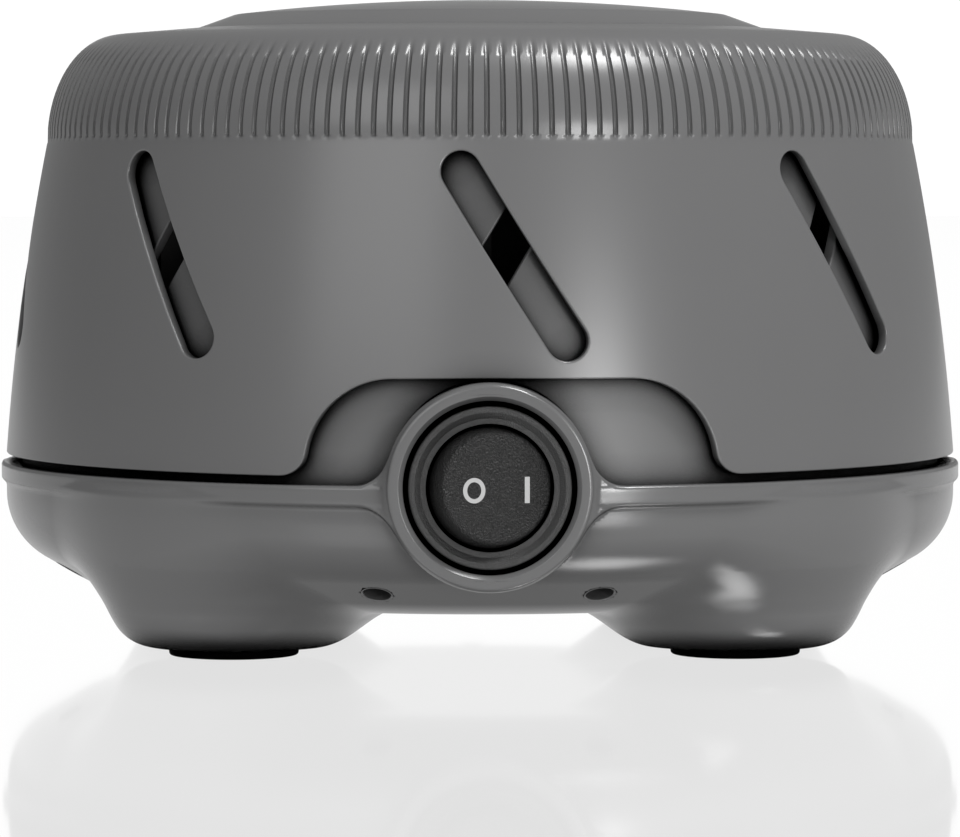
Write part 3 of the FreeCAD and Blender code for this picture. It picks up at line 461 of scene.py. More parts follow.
def notch_outline(low_z):
    """Half of the inner shell's notch round the switch boss, from its foot to its middle."""
    radius = BOSS_RADIUS + NOTCH_CLEAR
    places = [(radius, z) for z in np.linspace(low_z, SWITCH_Z, 3)[:-1]]
    normals = [(1.0, 0.0)] * 2
    for step in range(25):
        angle = math.pi / 2 * step / 24
        places.append((radius * math.cos(angle), SWITCH_Z + radius * math.sin(angle)))
        normals.append((math.cos(angle), math.sin(angle)))
    return np.array(places), np.array(normals)


def foot_line(half_outline, foot_z):
    """The sheet's lower edge all round, through the notch or arch, as angle and height."""
    places, normals = half_outline
    right = np.stack([np.arcsin(places[:, 0] / FOOT_RADIUS), places[:, 1]], axis=1)
    mirror = np.array([-1, 1])
    sweep = np.linspace(-math.pi, -right[0, 0], FOOT_LINE_STEPS)[:-1]
    rest = np.stack([sweep, np.full(len(sweep), foot_z)], axis=1)
    rest_normals = np.tile([0.0, 1.0], (len(sweep), 1))
    line = np.concatenate([rest, right * mirror, right[::-1][1:], rest[::-1] * mirror])
    line_normals = np.concatenate([rest_normals, normals * mirror, normals[::-1][1:], rest_normals])
    return line, line_normals


def inside(point, polygon):
    """True where a flat point is inside a closed polygon."""
    x, z = point
    hit = False
    for (x0, z0), (x1, z1) in zip(polygon, np.roll(polygon, -1, axis=0)):
        if (z0 > z) != (z1 > z) and x < (x1 - x0) * (z - z0) / (z1 - z0) + x0:
            hit = not hit
    return hit


def sheet(radius_at, wall, half_outline, foot_z, top_z, lean, phase, top_columns):
    """A rolled wall with slots and a notched foot: both skins and the rounded edges between."""
    slot_places, slot_normals = slot_outline(lean)
    slot_angles = [math.radians(phase) + 2 * math.pi * i / SLOT_COUNT for i in range(SLOT_COUNT)]
    slot_angles = [a - 2 * math.pi if a > math.pi - SEAM_MARGIN else a for a in slot_angles]
    line, line_normals = foot_line(half_outline, foot_z)
    slot_scale = float(radius_at(SLOT_Z))
    curves = [(line, line_normals / np.array([FOOT_RADIUS, 1]), False)]
    for angle in slot_angles:
        curve = np.stack([np.arcsin(slot_places[:, 0] / slot_scale) + angle, slot_places[:, 1]], axis=1)
        curves.append((curve, slot_normals / np.array([slot_scale, 1]), True))
    rounding = min(EDGE_ROUND, wall / 3)
    turns = [math.pi / 2 * i / 4 for i in range(5)]
    rows = [(rounding * (1 - math.cos(t)), rounding * (1 - math.sin(t))) for t in turns]
    parts = []

    def place(flat, depth):
        radius = radius_at(flat[:, 1]) - depth
        return polar(radius, flat[:, 0], flat[:, 1])

    for curve, normals, closed in curves:
        outline_rows = []
        for across, depth in reversed(rows):
            outline_rows.append(place(curve + normals * across, depth))
        for across, depth in rows:
            outline_rows.append(place(curve + normals * across, wall - depth))
        faces = strip_faces(len(outline_rows), len(curve), closed)
        parts.append((np.concatenate(outline_rows), faces))

    borders = [curve + normals * rows[-1][0] for curve, normals, _ in curves]
    top = np.stack([top_columns, np.full(len(top_columns), top_z)], axis=1)
    flat, triangles = fill_sheet(borders, top, foot_z, top_z)
    parts.append((place(flat, 0.0), triangles))
    parts.append((place(flat, wall), [list(reversed(t)) for t in triangles]))
    return parts


def fill_sheet(borders, top, foot_z, top_z):
    """Triangles over the flat wall between its foot line, its top and its slots.

    The slot on the seam at the back is cut only on the seam's low side.
    """
    line = borders[0]
    slots = borders[1:]
    size = np.array([FOOT_RADIUS, 1.0])
    turn = SHEET_STEP / FOOT_RADIUS
    outer = np.concatenate([line, top[::-1]])
    points = [outer]
    edges = [(i, (i + 1) % len(outer)) for i in range(len(outer))]
    start = len(outer)
    for slot in slots:
        points.append(slot)
        edges += [(start + i, start + (i + 1) % len(slot)) for i in range(len(slot))]
        start += len(slot)
    across = np.arange(-math.pi + turn, math.pi - turn / 2, turn)
    upward = np.arange(foot_z + SHEET_STEP, top_z - SHEET_STEP / 2, SHEET_STEP * SHEET_STRETCH)
    grid = np.array([(a, z) for z in upward for a in across])
    border_all = np.concatenate(points)
    keep = np.ones(len(grid), bool)
    for begin in range(0, len(grid), SHEET_BLOCK):
        block = grid[begin:begin + SHEET_BLOCK] * size
        gap = np.linalg.norm(block[:, None, :] - (border_all * size)[None, :, :], axis=2).min(1)
        keep[begin:begin + SHEET_BLOCK] = gap > SHEET_STEP * SHEET_CLEAR
    grid = grid[keep]
    grid = np.array([g for g in grid if not covered(g, line, slots)])
    flat = np.concatenate([border_all, grid])
    result = delaunay_2d_cdt([Vector(p) for p in flat * size], edges, [], 0, TINY)
    found = np.array([tuple(v) for v in result[0]]) / size
    triangles = []
    for triangle in result[2]:
        middle = found[list(triangle)].mean(0)
        if not covered(middle, line, slots) and middle[1] < top_z:
            triangles.append(list(triangle))
    return found, triangles


def covered(place, line, slots):
    """True where a flat place is inside a slot or below the foot line."""
    height = np.interp(place[0], line[:, 0], line[:, 1])
    arch = ARCH_HALF / FOOT_RADIUS
    if place[1] < height and abs(place[0]) > arch * ARCH_REACH:
        return True
    if abs(place[0]) <= arch * ARCH_REACH:
        window = line[np.abs(line[:, 0]) < arch * ARCH_WINDOW]
        low = window[:, 1].min() - WINDOW_DROP
        polygon = np.concatenate([window, [[window[-1, 0], low], [window[0, 0], low]]])
        if inside(place, polygon):
            return True
    for slot in slots:
        if abs(place[0] - slot[:, 0].mean()) < SLOT_REACH and inside(place, slot):
            return True
    return False


def band_columns():
    """Angles across all the grip grooves, close together at each groove."""
    pitch = 2 * math.pi / GROOVES
    offsets = np.array(GROOVE_COLUMNS) / BAND_RADIUS
    centres = -math.pi + pitch / 2 + np.arange(GROOVES) * pitch
    return (centres[:, None] + offsets[None, :]).ravel()


def groove_shape(columns):
    """Depth share of the grooves at each angle, from 0 on a rib to 1 in a groove."""
    pitch = 2 * math.pi / GROOVES
    place = (columns + math.pi) % pitch - pitch / 2
    away = np.abs(place) * BAND_RADIUS / GROOVE_HALF
    return np.clip(1.0 - away ** 3, 0.0, 1.0)


def groove_envelope(z):
    """Depth share of the grooves at each height, running out at both ends of the band."""
    low = np.clip((z - GROOVE_LOW_Z) / GROOVE_RUN_IN, 0, 1)
    high = np.clip((GROOVE_HIGH_Z - z) / GROOVE_RUN_OUT, 0, 1)
    return np.sqrt(low) * high


def polish(thing, radius_at):
    """Gives the rolled wall's outer skin its exact normals, so that it reflects evenly."""
    mesh = thing.data
    count = len(mesh.loops)
    normals = np.empty(count * 3)
    mesh.corner_normals.foreach_get("vector", normals)
    normals = normals.reshape(-1, 3)
    owner = np.empty(count, int)
    mesh.loops.foreach_get("vertex_index", owner)
    places = np.empty(len(mesh.vertices) * 3)
    mesh.vertices.foreach_get("co", places)
    places = places.reshape(-1, 3)[owner] / MM
    radius = np.hypot(places[:, 0], places[:, 1])
    height = places[:, 2]
    rise = (radius_at(height - PROBE) - radius_at(height + PROBE)) / (2 * PROBE)
    exact = np.stack([places[:, 0] / radius, places[:, 1] / radius, rise], axis=1)
    exact /= np.linalg.norm(exact, axis=1)[:, None]
    on_skin = np.abs(radius - radius_at(height)) < SKIN_DEPTH
    on_skin &= height < BAND_START_Z + SKIN_DEPTH / 2
    on_skin &= (normals * exact).sum(1) > FACING_OUT
    normals[on_skin] = exact[on_skin]
    mesh.normals_split_custom_set(normals.tolist())


def make_cap(material):
    """Twist cap: slotted flank with its arch, grip band, shoulder, crown seat and hub."""
    columns = band_columns()
    parts = sheet(flank_radius, CAP_WALL, arch_outline(FOOT_Z), FOOT_Z, BAND_START_Z, -1.0, 0.0,
                  columns)
    low = [(flank_radius(BAND_START_Z), BAND_START_Z), (BAND_RADIUS - BAND_STEP, BAND_Z)]
    low += [(BAND_RADIUS - BAND_STEP - BAND_DRAW * (row + 1), GROOVE_LOW_Z + BAND_ROW_RISE * row)
            for row in range(BAND_ROWS)]
    shoulder = [row for row in shoulder_rows(0.0, 22) if row[1] > SHOULDER_START_Z]
    rows = np.array(low + shoulder + CAP_TOP_ROWS)
    radius, angle = np.meshgrid(rows[:, 0], columns, indexing="ij")
    height = np.repeat(rows[:, 1][:, None], len(columns), axis=1)
    radius = radius - GROOVE_DEPTH * groove_shape(columns)[None, :] * groove_envelope(height)
    parts.append((polar(radius, angle, height).reshape(-1, 3), wrap_faces(len(rows), len(columns))))
    inner = [(flank_radius(BAND_START_Z) - CAP_WALL, BAND_START_Z)] + shoulder_rows(CAP_WALL, 8)
    inner += [(RIM_RADIUS + CAP_WALL, RIM_Z - CAP_WALL), (RIM_RADIUS + CAP_WALL, SEAT_Z - CAP_WALL)]
    inner += [(HUB_RADIUS, SEAT_Z - CAP_WALL), (HUB_HOLE_RADIUS, SEAT_Z - CAP_WALL)]
    inner += [(HUB_HOLE_RADIUS, SEAT_Z + HUB_RISE), (HUB_RADIUS, SEAT_Z + HUB_RISE)]
    inner += [(HUB_RADIUS, SEAT_Z), (RIM_RADIUS, SEAT_Z)]
    points, faces = lathe(inner, columns)
    parts.append((points, [face[::-1] for face in faces]))
    vertices, faces = join_grids(parts)
    vertices = turned(vertices, CAP_REST)
    cap = piece("cap", vertices, faces, material, "cap", ["outer_cap"], weld=WELD)
    sharpen(cap, 50)
    polish(cap, flank_radius)


def turned(vertices, degrees):
    """Points turned about Z."""
    angle = math.radians(degrees)
    x = vertices[:, 0] * math.cos(angle) - vertices[:, 1] * math.sin(angle)
    y = vertices[:, 0] * math.sin(angle) + vertices[:, 1] * math.cos(angle)
    return np.stack([x, y, vertices[:, 2]], axis=1)


def make_crown(material):
    """Crown disc: straight edge, sloped rim, crease and shallow dome, hollow below."""
    drop = CROWN_TOP_Z - CROWN_CREASE_Z
    radius = (CROWN_CREASE_RADIUS ** 2 + drop ** 2) / (2 * drop)
    dome = []
    for share in np.linspace(1.0, 0.0, 14)[:-1]:
        r = CROWN_CREASE_RADIUS * share
        dome.append((r, CROWN_TOP_Z - radius + math.sqrt(radius ** 2 - r ** 2)))
    low_z = SEAT_Z + CROWN_SEAT_GAP
    outline = rounded([(CROWN_RADIUS, low_z), (CROWN_RADIUS, CROWN_EDGE_Z), dome[0], dome[2]],
                      CROWN_ROUNDS, steps=6)
    outline = [tuple(p) for p in outline] + dome[3:] + [(AXIS_RADIUS, CROWN_TOP_Z)]
    inner_radius = CROWN_RADIUS - CROWN_WALL
    inner = [(AXIS_RADIUS, CROWN_TOP_Z - CROWN_WALL), (CROWN_CREASE_RADIUS, CROWN_CREASE_Z - CROWN_WALL),
             (inner_radius, SEAT_Z + CROWN_RABBET), (inner_radius, low_z)]
    points, faces = lathe(outline + inner, even_turn(256), closed=True)
    crown = piece("crown", points, faces, material, "cap", ["cap_crown"])
    sharpen(crown, 60)


def make_inner_shell(material):
    """Inner shell: slots slanted against the cap's, a notch for the switch boss and a post."""
    def radius_at(z):
        return flank_radius(z) - SHELL_INSET

    columns = -math.pi + even_turn(360)
    parts = sheet(radius_at, SHELL_WALL, notch_outline(SHELL_FOOT_Z), SHELL_FOOT_Z, BAND_START_Z, 1.0,
                  INNER_PHASE, columns)
    outer = [(radius_at(BAND_START_Z), BAND_START_Z)]
    outer += [row for row in shoulder_rows(SHELL_INSET, 10) if row[1] < SHELL_TOP_Z]
    outer += [(SHELL_TOP_RADIUS, SHELL_TOP_Z), (POST_RADIUS, SHELL_TOP_Z)]
    outer += [(POST_RADIUS, SHELL_TOP_Z + POST_RISE), (AXIS_RADIUS, SHELL_TOP_Z + POST_RISE)]
    parts.append(lathe(outer, columns))
    inner = [(radius_at(BAND_START_Z) - SHELL_WALL, BAND_START_Z)]
    inner += [row for row in shoulder_rows(SHELL_INSET + SHELL_WALL, 8)
              if row[1] < SHELL_TOP_Z - SHELL_TOP_CLEAR]
    inner += [(AXIS_RADIUS, SHELL_TOP_Z - SHELL_WALL)]
    points, faces = lathe(inner, columns)
    parts.append((points, [face[::-1] for face in faces]))
    vertices, faces = join_grids(parts)
    shell = piece("inner_wall", vertices, faces, material, "base", ["inner_shell"],
                  weld=WELD)
    sharpen(shell, 50)
    polish(shell, radius_at)


def round_max(a, b, radius):
    """Intersection of two distances with a rounded outer edge."""
    return np.minimum(np.maximum(a, b), -radius) + np.hypot(np.maximum(a + radius, 0),
                                                          np.maximum(b + radius, 0))


def blend_min(a, b, radius):
    """Union of two distances with a concave fillet where they meet."""
    return np.maximum(np.minimum(a, b), radius) - np.hypot(np.maximum(radius - a, 0),
                                                         np.maximum(radius - b, 0))


def slope_start():
    """Where the base's rounded turn ends and its slope begins, as radius and height."""
    slope = math.radians(BASE_SLOPE)
    radius = BASE_RADIUS - BASE_TURN + BASE_TURN * math.sin(slope)
    return radius, BASE_TURN_Z - BASE_TURN * math.cos(slope)


def base_flank(r, z):
    """Distance to the base's turned body, without lip and feet."""
    centre = BASE_RADIUS - BASE_TURN
    slope = math.radians(BASE_SLOPE)
    end_r, end_z = slope_start()
    side = r - BASE_RADIUS
    cone = (r - end_r) * math.sin(slope) - (z - end_z) * math.cos(slope)
    arc = np.hypot(r - centre, z - BASE_TURN_Z) - BASE_TURN
    direction = np.arctan2(z - BASE_TURN_Z, r - centre)
    flank = np.where(z >= BASE_TURN_Z, side, np.where(direction < slope - math.pi / 2, cone, arc))
    return round_max(flank, BASE_BOTTOM_Z - z, BASE_EDGE)


def foot_centres():
    """Centres of the four feet, from the front right one round."""
    return [(FOOT_CIRCLE * math.sin(math.radians(a)), -FOOT_CIRCLE * math.cos(math.radians(a)))
            for a in (45, 135, 225, 315)]


def base_body(x, y, z):
    """Base with its feet blended in, as a full solid."""
    r = np.hypot(x, y)
    body = round_max(base_flank(r, z), z - LEDGE_Z, LEDGE_EDGE)
    for cx, cy in foot_centres():
        side = np.hypot(x - cx, y - cy) - FOOT_SIZE + FOOT_TAPER * np.maximum(FOOT_TAPER_Z - z, 0)
        foot = round_max(side, FOOT_LOW_Z - z, FOOT_EDGE)
        foot = np.maximum(foot, z - BASE_TURN_Z)
        body = blend_min(body, foot, FOOT_BLEND)
    return np.maximum(body, FOOT_LOW_Z - z)


def base_distance(p):
    """Distance to the finished base housing: lip, boss, inlet, hollow and holes."""
    x, y, z = p[..., 0], p[..., 1], p[..., 2]
    r = np.hypot(x, y)
    body = base_body(x, y, z)
    lip_middle = (LIP_LOW_Z + LIP_TOP_Z) / 2
    band = np.abs(z - lip_middle) - (LIP_TOP_Z - LIP_LOW_Z) / 2
    lip = round_max(r - LIP_RADIUS, band, LIP_EDGE)
    around = np.hypot(x, z - SWITCH_Z)
    along = np.maximum(BOSS_FRONT_Y + RING_COVER - y, y - BOSS_BACK_Y)
    boss = round_max(around - BOSS_RADIUS + RING_COVER, along, BOSS_EDGE)
    flared = blend_min(band, around - BOSS_RADIUS, BOSS_BLEND)
    wing = round_max(flared, np.maximum(r - LIP_RADIUS, RIM_INNER_RADIUS - r), WING_EDGE)
    boss = blend_min(boss, np.maximum(wing, y), WING_BLEND)
    shell = blend_min(body, lip, LIP_BLEND)
    shell = blend_min(shell, boss, BOSS_FILLET)
    inlet_side = np.hypot(x, z - INLET_Z) - INLET_RADIUS
    inlet = round_max(inlet_side, np.maximum(y - INLET_Y, -y), INLET_EDGE)
    shell = blend_min(shell, inlet, INLET_BLEND)
    in_boss = BOSS_RADIUS - around
    room = np.maximum(body + BASE_WALL, in_boss)
    well = np.maximum(np.maximum(r - LEDGE_RADIUS, BASE_TURN_Z - WELL_DROP - z), in_boss)
    seat = np.maximum(np.maximum(r - RIM_INNER_RADIUS, LEDGE_Z - z), in_boss)
    hollow = np.minimum(np.minimum(room, well), seat)
    shell = np.maximum(shell, -hollow)
    shell = np.maximum(shell, -np.maximum(around - BOSS_BORE - BOSS_CHAMFER - RING_COVER, y))
    gland = np.maximum(np.hypot(x, z - INLET_Z) - GLAND_HOLE, -y)
    shell = np.maximum(shell, -gland)
    for cx, cy in foot_centres():
        recess = np.maximum(np.hypot(x - cx, y - cy) - PAD_RADIUS - PAD_CLEAR, z - PAD_TOP_Z)
        shell = np.maximum(shell, -recess)
    return cut_vents(shell, x, y, z)


def vent_height():
    """Height of the base's slope on the vents' circle."""
    end_r, end_z = slope_start()
    return end_z - (end_r - VENT_CIRCLE) * math.tan(math.radians(BASE_SLOPE))


def vent_angles():
    """Angles of the vents, a pair to each quarter."""
    return [math.radians(90 * quarter + side * VENT_OFFSET)
            for quarter in range(4) for side in (-1, 1)]


def cut_vents(shell, x, y, z):
    """The base with its vents cut square to the slope."""
    slope = math.radians(BASE_SLOPE)
    rise = z - vent_height()
    for angle in vent_angles():
        out = (math.sin(angle), -math.cos(angle))
        across = x * out[1] - y * out[0]
        radial = x * out[0] + y * out[1] - VENT_CIRCLE
        depth = radial * math.sin(slope) - rise * math.cos(slope)
        level = radial * math.cos(slope) + rise * math.sin(slope)
        side = np.hypot(across, level) - VENT_RADIUS - VENT_RIM / 2
        shell = np.maximum(shell, -np.maximum(side, np.abs(depth) - VENT_CUT))
    return shell


def field_mesh(distance, low, high, voxel):
    """Quads on the zero surface of a distance function, settled onto it."""
    axes = [np.arange(a - voxel, b + 2 * voxel, voxel, dtype=np.float32) for a, b in zip(low, high)]
    shape = [len(axis) for axis in axes]
    values = np.empty(shape, np.float32)
    xs, ys = np.meshgrid(axes[0], axes[1], indexing="ij")
    for index, height in enumerate(axes[2]):
        layer = np.stack([xs, ys, np.full_like(xs, height)], axis=-1)
        values[:, :, index] = distance(layer)
    limit = 3 * voxel
    grid = openvdb.FloatGrid(limit)
    grid.copyFromArray(np.clip(values, -limit, limit))
    points, quads = grid.convertToQuads(0.0)
    corner = np.array([axis[0] for axis in axes])
    points = corner + points.astype(float) * voxel
    points = settled(distance, points)
    return points, quads


def gradient(distance, points):
    """Slope of a distance function at points."""
    parts = []
    for axis in range(3):
        shift = np.zeros(3)
        shift[axis] = GRADIENT_STEP
        parts.append((distance(points + shift) - distance(points - shift)) / (2 * GRADIENT_STEP))
    return np.stack(parts, axis=-1)


def settled(distance, points):
    """Points moved along the slope onto the zero surface."""
    for _ in range(2):
        slope = gradient(distance, points)
        size = np.maximum((slope ** 2).sum(-1), LEAST_SLOPE)
        move = distance(points)[:, None] * slope / size[:, None]
        points = points - np.clip(move, -LONGEST_MOVE, LONGEST_MOVE)
    return points


def field_piece(name, distance, low, high, voxel, material, body, replaced):
    """A piece whose surface is where a distance function is zero."""
    points, quads = field_mesh(distance, low, high, voxel)
    thing = piece(name, points, quads.tolist(), material, body, replaced)
    orient(thing, distance)


def orient(thing, distance):
    """Turns the faces outwards and gives the surface its exact normals."""
    mesh = thing.data
    count = len(mesh.vertices)
    places = np.empty(count * 3)
    mesh.vertices.foreach_get("co", places)
    places = places.reshape(-1, 3) / MM
    slope = gradient(distance, places)
    slope /= np.maximum(np.linalg.norm(slope, axis=1), TINY)[:, None]
    normals = np.empty(count * 3)
    mesh.vertices.foreach_get("normal", normals)
    if (normals.reshape(-1, 3) * slope).sum() < 0:
        mesh.flip_normals()
    mesh.normals_split_custom_set_from_vertices(slope.tolist())


def rocker_distance(p):
    """Distance to the rocker in its neutral place about the pivot, then tilted to I."""
    tilt = math.radians(ROCKER_TILT)
    x0 = p[..., 0]
    y0 = p[..., 1] - PIVOT_Y
    x = x0 * math.cos(tilt) + y0 * math.sin(tilt)
    y = -x0 * math.sin(tilt) + y0 * math.cos(tilt)
    z = p[..., 2] - SWITCH_Z
    ball = np.sqrt(x ** 2 + y ** 2 + z ** 2) - ROCKER_BALL
    return np.maximum(round_max(ball, -y - ROCKER_FACE, ROCKER_EDGE), y + ROCKER_BACK)


def make_rocker(material, mark_material):
    """Rocker with its off and on marks."""
    field_piece("rocker_button", rocker_distance, ROCKER_LOW, ROCKER_HIGH, ROCKER_VOXEL, material,
                "rocker", ["rocker"])
    place_mark("mark_off", mark_ring(*MARK_RING), MARK_OFF_X, mark_material)
    place_mark("mark_on", mark_bar(*MARK_BAR), MARK_ON_X, mark_material)


def mark_ring(half_x, half_z, stroke, count=64):
    """Flat points and faces of the off mark, an upright ring."""
    angles = even_turn(count)
    outer = np.stack([half_x * np.cos(angles), half_z * np.sin(angles)], axis=1)
    inner = np.stack([(half_x - stroke) * np.cos(angles), (half_z - stroke) * np.sin(angles)], axis=1)
    flat = np.concatenate([outer, inner])
    faces = [[i, (i + 1) % count, count + (i + 1) % count, count + i] for i in range(count)]
    return flat, faces


def mark_bar(half_x, half_z):
    """Flat points and face of the on mark, an upright bar."""
    corners = [(-half_x, -half_z), (half_x, -half_z), (half_x, half_z), (-half_x, half_z)]
    return np.array(corners), [[0, 1, 2, 3]]


def place_mark(name, shape, offset, material):
    """A thin printed mark on the rocker's tilted face."""
    flat, faces = shape
    tilt = math.radians(ROCKER_TILT)
    points = []
    for depth in (ROCKER_FACE + MARK_THICK, ROCKER_FACE - MARK_THICK):
        x = flat[:, 0] + offset
        y = np.full(len(flat), -depth)
        points.append(np.stack([x * math.cos(tilt) - y * math.sin(tilt),
                                x * math.sin(tilt) + y * math.cos(tilt) + PIVOT_Y,
                                flat[:, 1] + SWITCH_Z - MARK_DROP], axis=1))
    count = len(flat)
    front = [list(face) for face in faces]
    back = [[index + count for index in reversed(face)] for face in faces]
    edges = dict.fromkeys((a, b) for face in faces for a, b in zip(face, face[1:] + face[:1]))
    sides = [[a, a + count, b + count, b] for a, b in edges if (b, a) not in edges]
    mark = piece(name, np.concatenate(points), front + back + sides, material, "rocker")
    sharpen(mark, 30)


def along_y(points, offset_y, offset_z):
    """Turns points made about Z so that their axis runs along -Y from a place."""
    return np.stack([points[:, 0], offset_y - points[:, 2], offset_z + points[:, 1]], axis=1)


def make_bezel(material):
    """Switch bezel: outer edge, coned band, inner lip and the dark well behind it."""
    face_line = [tuple(p) for p in rounded(BEZEL_FACE, BEZEL_ROUNDS, steps=4)]
    points, faces = lathe(face_line + BEZEL_WELL, even_turn(160), closed=True)
    bezel = piece("switch_bezel", along_y(points, BEZEL_FRONT_Y, SWITCH_Z), faces, material, "base",
                  ["switch_body"])
    sharpen(bezel, 40)


def make_boss_ring(material):
    """Front of the switch boss: a ring with a chamfered mouth, and the panel behind it."""
    outer = BOSS_RADIUS + RING_COVER / 4
    outline = rounded([(outer, -RING_LENGTH), (outer, 0.0), (BOSS_BORE + BOSS_CHAMFER, 0.0),
                       (BOSS_BORE, -BOSS_CHAMFER), (BOSS_BORE, -PANEL_DEPTH),
                       (PANEL_HOLE, -PANEL_DEPTH), (PANEL_HOLE, -RING_LENGTH)],
                      RING_ROUNDS, steps=5)
    points, faces = lathe([tuple(p) for p in outline], even_turn(200), closed=True)
    ring = piece("boss_ring", along_y(points, BOSS_FRONT_Y, SWITCH_Z), faces, material, "base")
    sharpen(ring, 50)


def make_vent_rims(material):
    """Crisp mouths of the vent holes, set square to the sloping flank."""
    slope = math.radians(BASE_SLOPE)
    outline = [(VENT_RADIUS, -BASE_WALL), (VENT_RADIUS, VENT_PROUD - VENT_CHAMFER),
               (VENT_RADIUS + VENT_CHAMFER, VENT_PROUD), (VENT_RADIUS + VENT_RIM, VENT_PROUD),
               (VENT_RADIUS + VENT_RIM + VENT_DRAFT, -BASE_WALL)]
    points, faces = lathe(outline, even_turn(40), closed=True)
    parts = []
    for angle in vent_angles():
        out = np.array([math.sin(angle), -math.cos(angle), 0.0])
        axis = out * math.sin(slope) - np.array([0, 0, math.cos(slope)])
        across = np.array([math.cos(angle), math.sin(angle), 0.0])
        level = np.cross(axis, across)
        centre = out * VENT_CIRCLE + np.array([0, 0, vent_height()])
        placed = centre + points[:, :1] * across + points[:, 1:2] * level + points[:, 2:] * axis
        parts.append((placed, faces))
    vertices, all_faces = join_grids(parts)
    rims = piece("vent_rims", vertices, all_faces, material, "base")
    sharpen(rims, 40)


def make_pads(material):
    """Round rubber pads in the feet's recesses."""
    names = ["front_right", "rear_right", "rear_left", "front_left"]
    outline = rounded([(AXIS_RADIUS, 0.0), (PAD_RADIUS, 0.0), (PAD_RADIUS, PAD_TOP_Z),
                       (AXIS_RADIUS, PAD_TOP_Z)], PAD_ROUNDS, steps=5)
    for name, (cx, cy) in zip(names, foot_centres()):
        points, faces = lathe(outline, even_turn(96))
        pad = piece("pad_" + name, points + np.array([cx, cy, 0]), faces, material, "base",
                    ["foot_pad_" + name])
        sharpen(pad, 50)


def make_fan(material):
    """Fan wheel: a disc with a hub and swept blades whose tips pass the front and the sides."""
    outline = [(AXIS_RADIUS, FAN_DISC_Z - FAN_HUB_DROP), (FAN_HUB_RADIUS, FAN_DISC_Z - FAN_HUB_DROP),
               (FAN_HUB_RADIUS, FAN_DISC_Z), (FAN_RADIUS, FAN_DISC_Z),
               (FAN_RADIUS, FAN_DISC_Z + FAN_THICKNESS), (FAN_HUB_RADIUS, FAN_DISC_Z + FAN_THICKNESS),
               (FAN_HUB_RADIUS, FAN_DISC_Z + FAN_HUB_RISE), (AXIS_RADIUS, FAN_DISC_Z + FAN_HUB_RISE)]
    outline = rounded(outline, FAN_ROUNDS, steps=3)
    parts = [lathe(outline, even_turn(128))]
    for index in range(FAN_BLADES):
        parts.append(blade(2 * math.pi * index / FAN_BLADES))
    vertices, faces = join_grids(parts)
    fan = piece("fan_wheel", vertices, faces, material, "rotor", ["fan"])
    sharpen(fan, 40)


def blade(tip_angle, steps=16):
    """A swept blade standing on the fan's disc, rounded at its top."""
    low = FAN_DISC_Z + FAN_THICKNESS / 2
    high = FAN_DISC_Z + FAN_BLADE_HEIGHT
    half = FAN_THICKNESS / 2
    section = [(-half, low), (half, low), (half, high - half)]
    section += [(half * math.cos(t), high - half + half * math.sin(t))
                for t in np.linspace(0, math.pi, 7)[1:-1]]
    section += [(-half, high - half)]
    points = []
    for step in range(steps + 1):
        share = step / steps
        radius = BLADE_INNER_RADIUS + (BLADE_TIP_RADIUS - BLADE_INNER_RADIUS) * share
        angle = tip_angle + BLADE_SWEEP * (1 - share) + BLADE_BELLY * math.sin(math.pi * share)
        for across, height in section:
            turn = angle + across / radius
            points.append((radius * math.sin(turn), -radius * math.cos(turn), height))
    count = len(section)
    faces = strip_faces(steps + 1, count, True)
    faces.append(list(range(count)))
    faces.append([steps * count + index for index in reversed(range(count))])
    return np.array(points), faces


def add_node(nodes, kind, values=None):
    """A new shader node with plain values on its sockets."""
    node = nodes.new(kind)
    for socket, value in (values or {}).items():
        node.inputs[socket].default_value = value
    return node


def product(nodes, links, first, second):
    """Output of one socket times another."""
    node = nodes.new("ShaderNodeMath")
    node.operation = "MULTIPLY"
    links.new(first, node.inputs[0])
    links.new(second, node.inputs[1])
    return node.outputs["Value"]


def painted_shade_tone(nodes, links, tone, underside_shade, specular):
    """Painted shade: a tone that darkens in narrow recesses and on faces that look down; recesses also
    lose their reflection.
    """
    # Painted shade: ambient occlusion darkens the colour and dims the reflection in recesses.
    hollow = add_node(nodes, "ShaderNodeAmbientOcclusion", {"Distance": CREVICE_REACH * MM})
    hollow.samples = CREVICE_SAMPLES
    crevice_shade = add_node(nodes, "ShaderNodeMapRange",
                       {"From Min": CREVICE_SHUT, "From Max": CREVICE_OPEN})
    links.new(hollow.outputs["AO"], crevice_shade.inputs["Value"])
    shaded_gleam = add_node(nodes, "ShaderNodeMath", {1: specular})
    shaded_gleam.operation = "MULTIPLY"
    links.new(crevice_shade.outputs["Result"], shaded_gleam.inputs[0])
    links.new(shaded_gleam.outputs["Value"], nodes["Principled BSDF"].inputs["Specular IOR Level"])
    # Painted shade: faces that look down are darkened in colour.
    facing = nodes.new("ShaderNodeNewGeometry")
    parts = nodes.new("ShaderNodeSeparateXYZ")
    links.new(facing.outputs["Normal"], parts.inputs["Vector"])
    lower = add_node(nodes, "ShaderNodeMapRange",
                     {"From Min": DOWN_FULL, "From Max": DOWN_START, "To Min": underside_shade})
    links.new(parts.outputs["Z"], lower.inputs["Value"])
    tone = product(nodes, links, tone, crevice_shade.outputs["Result"])
    return product(nodes, links, tone, lower.outputs["Result"])


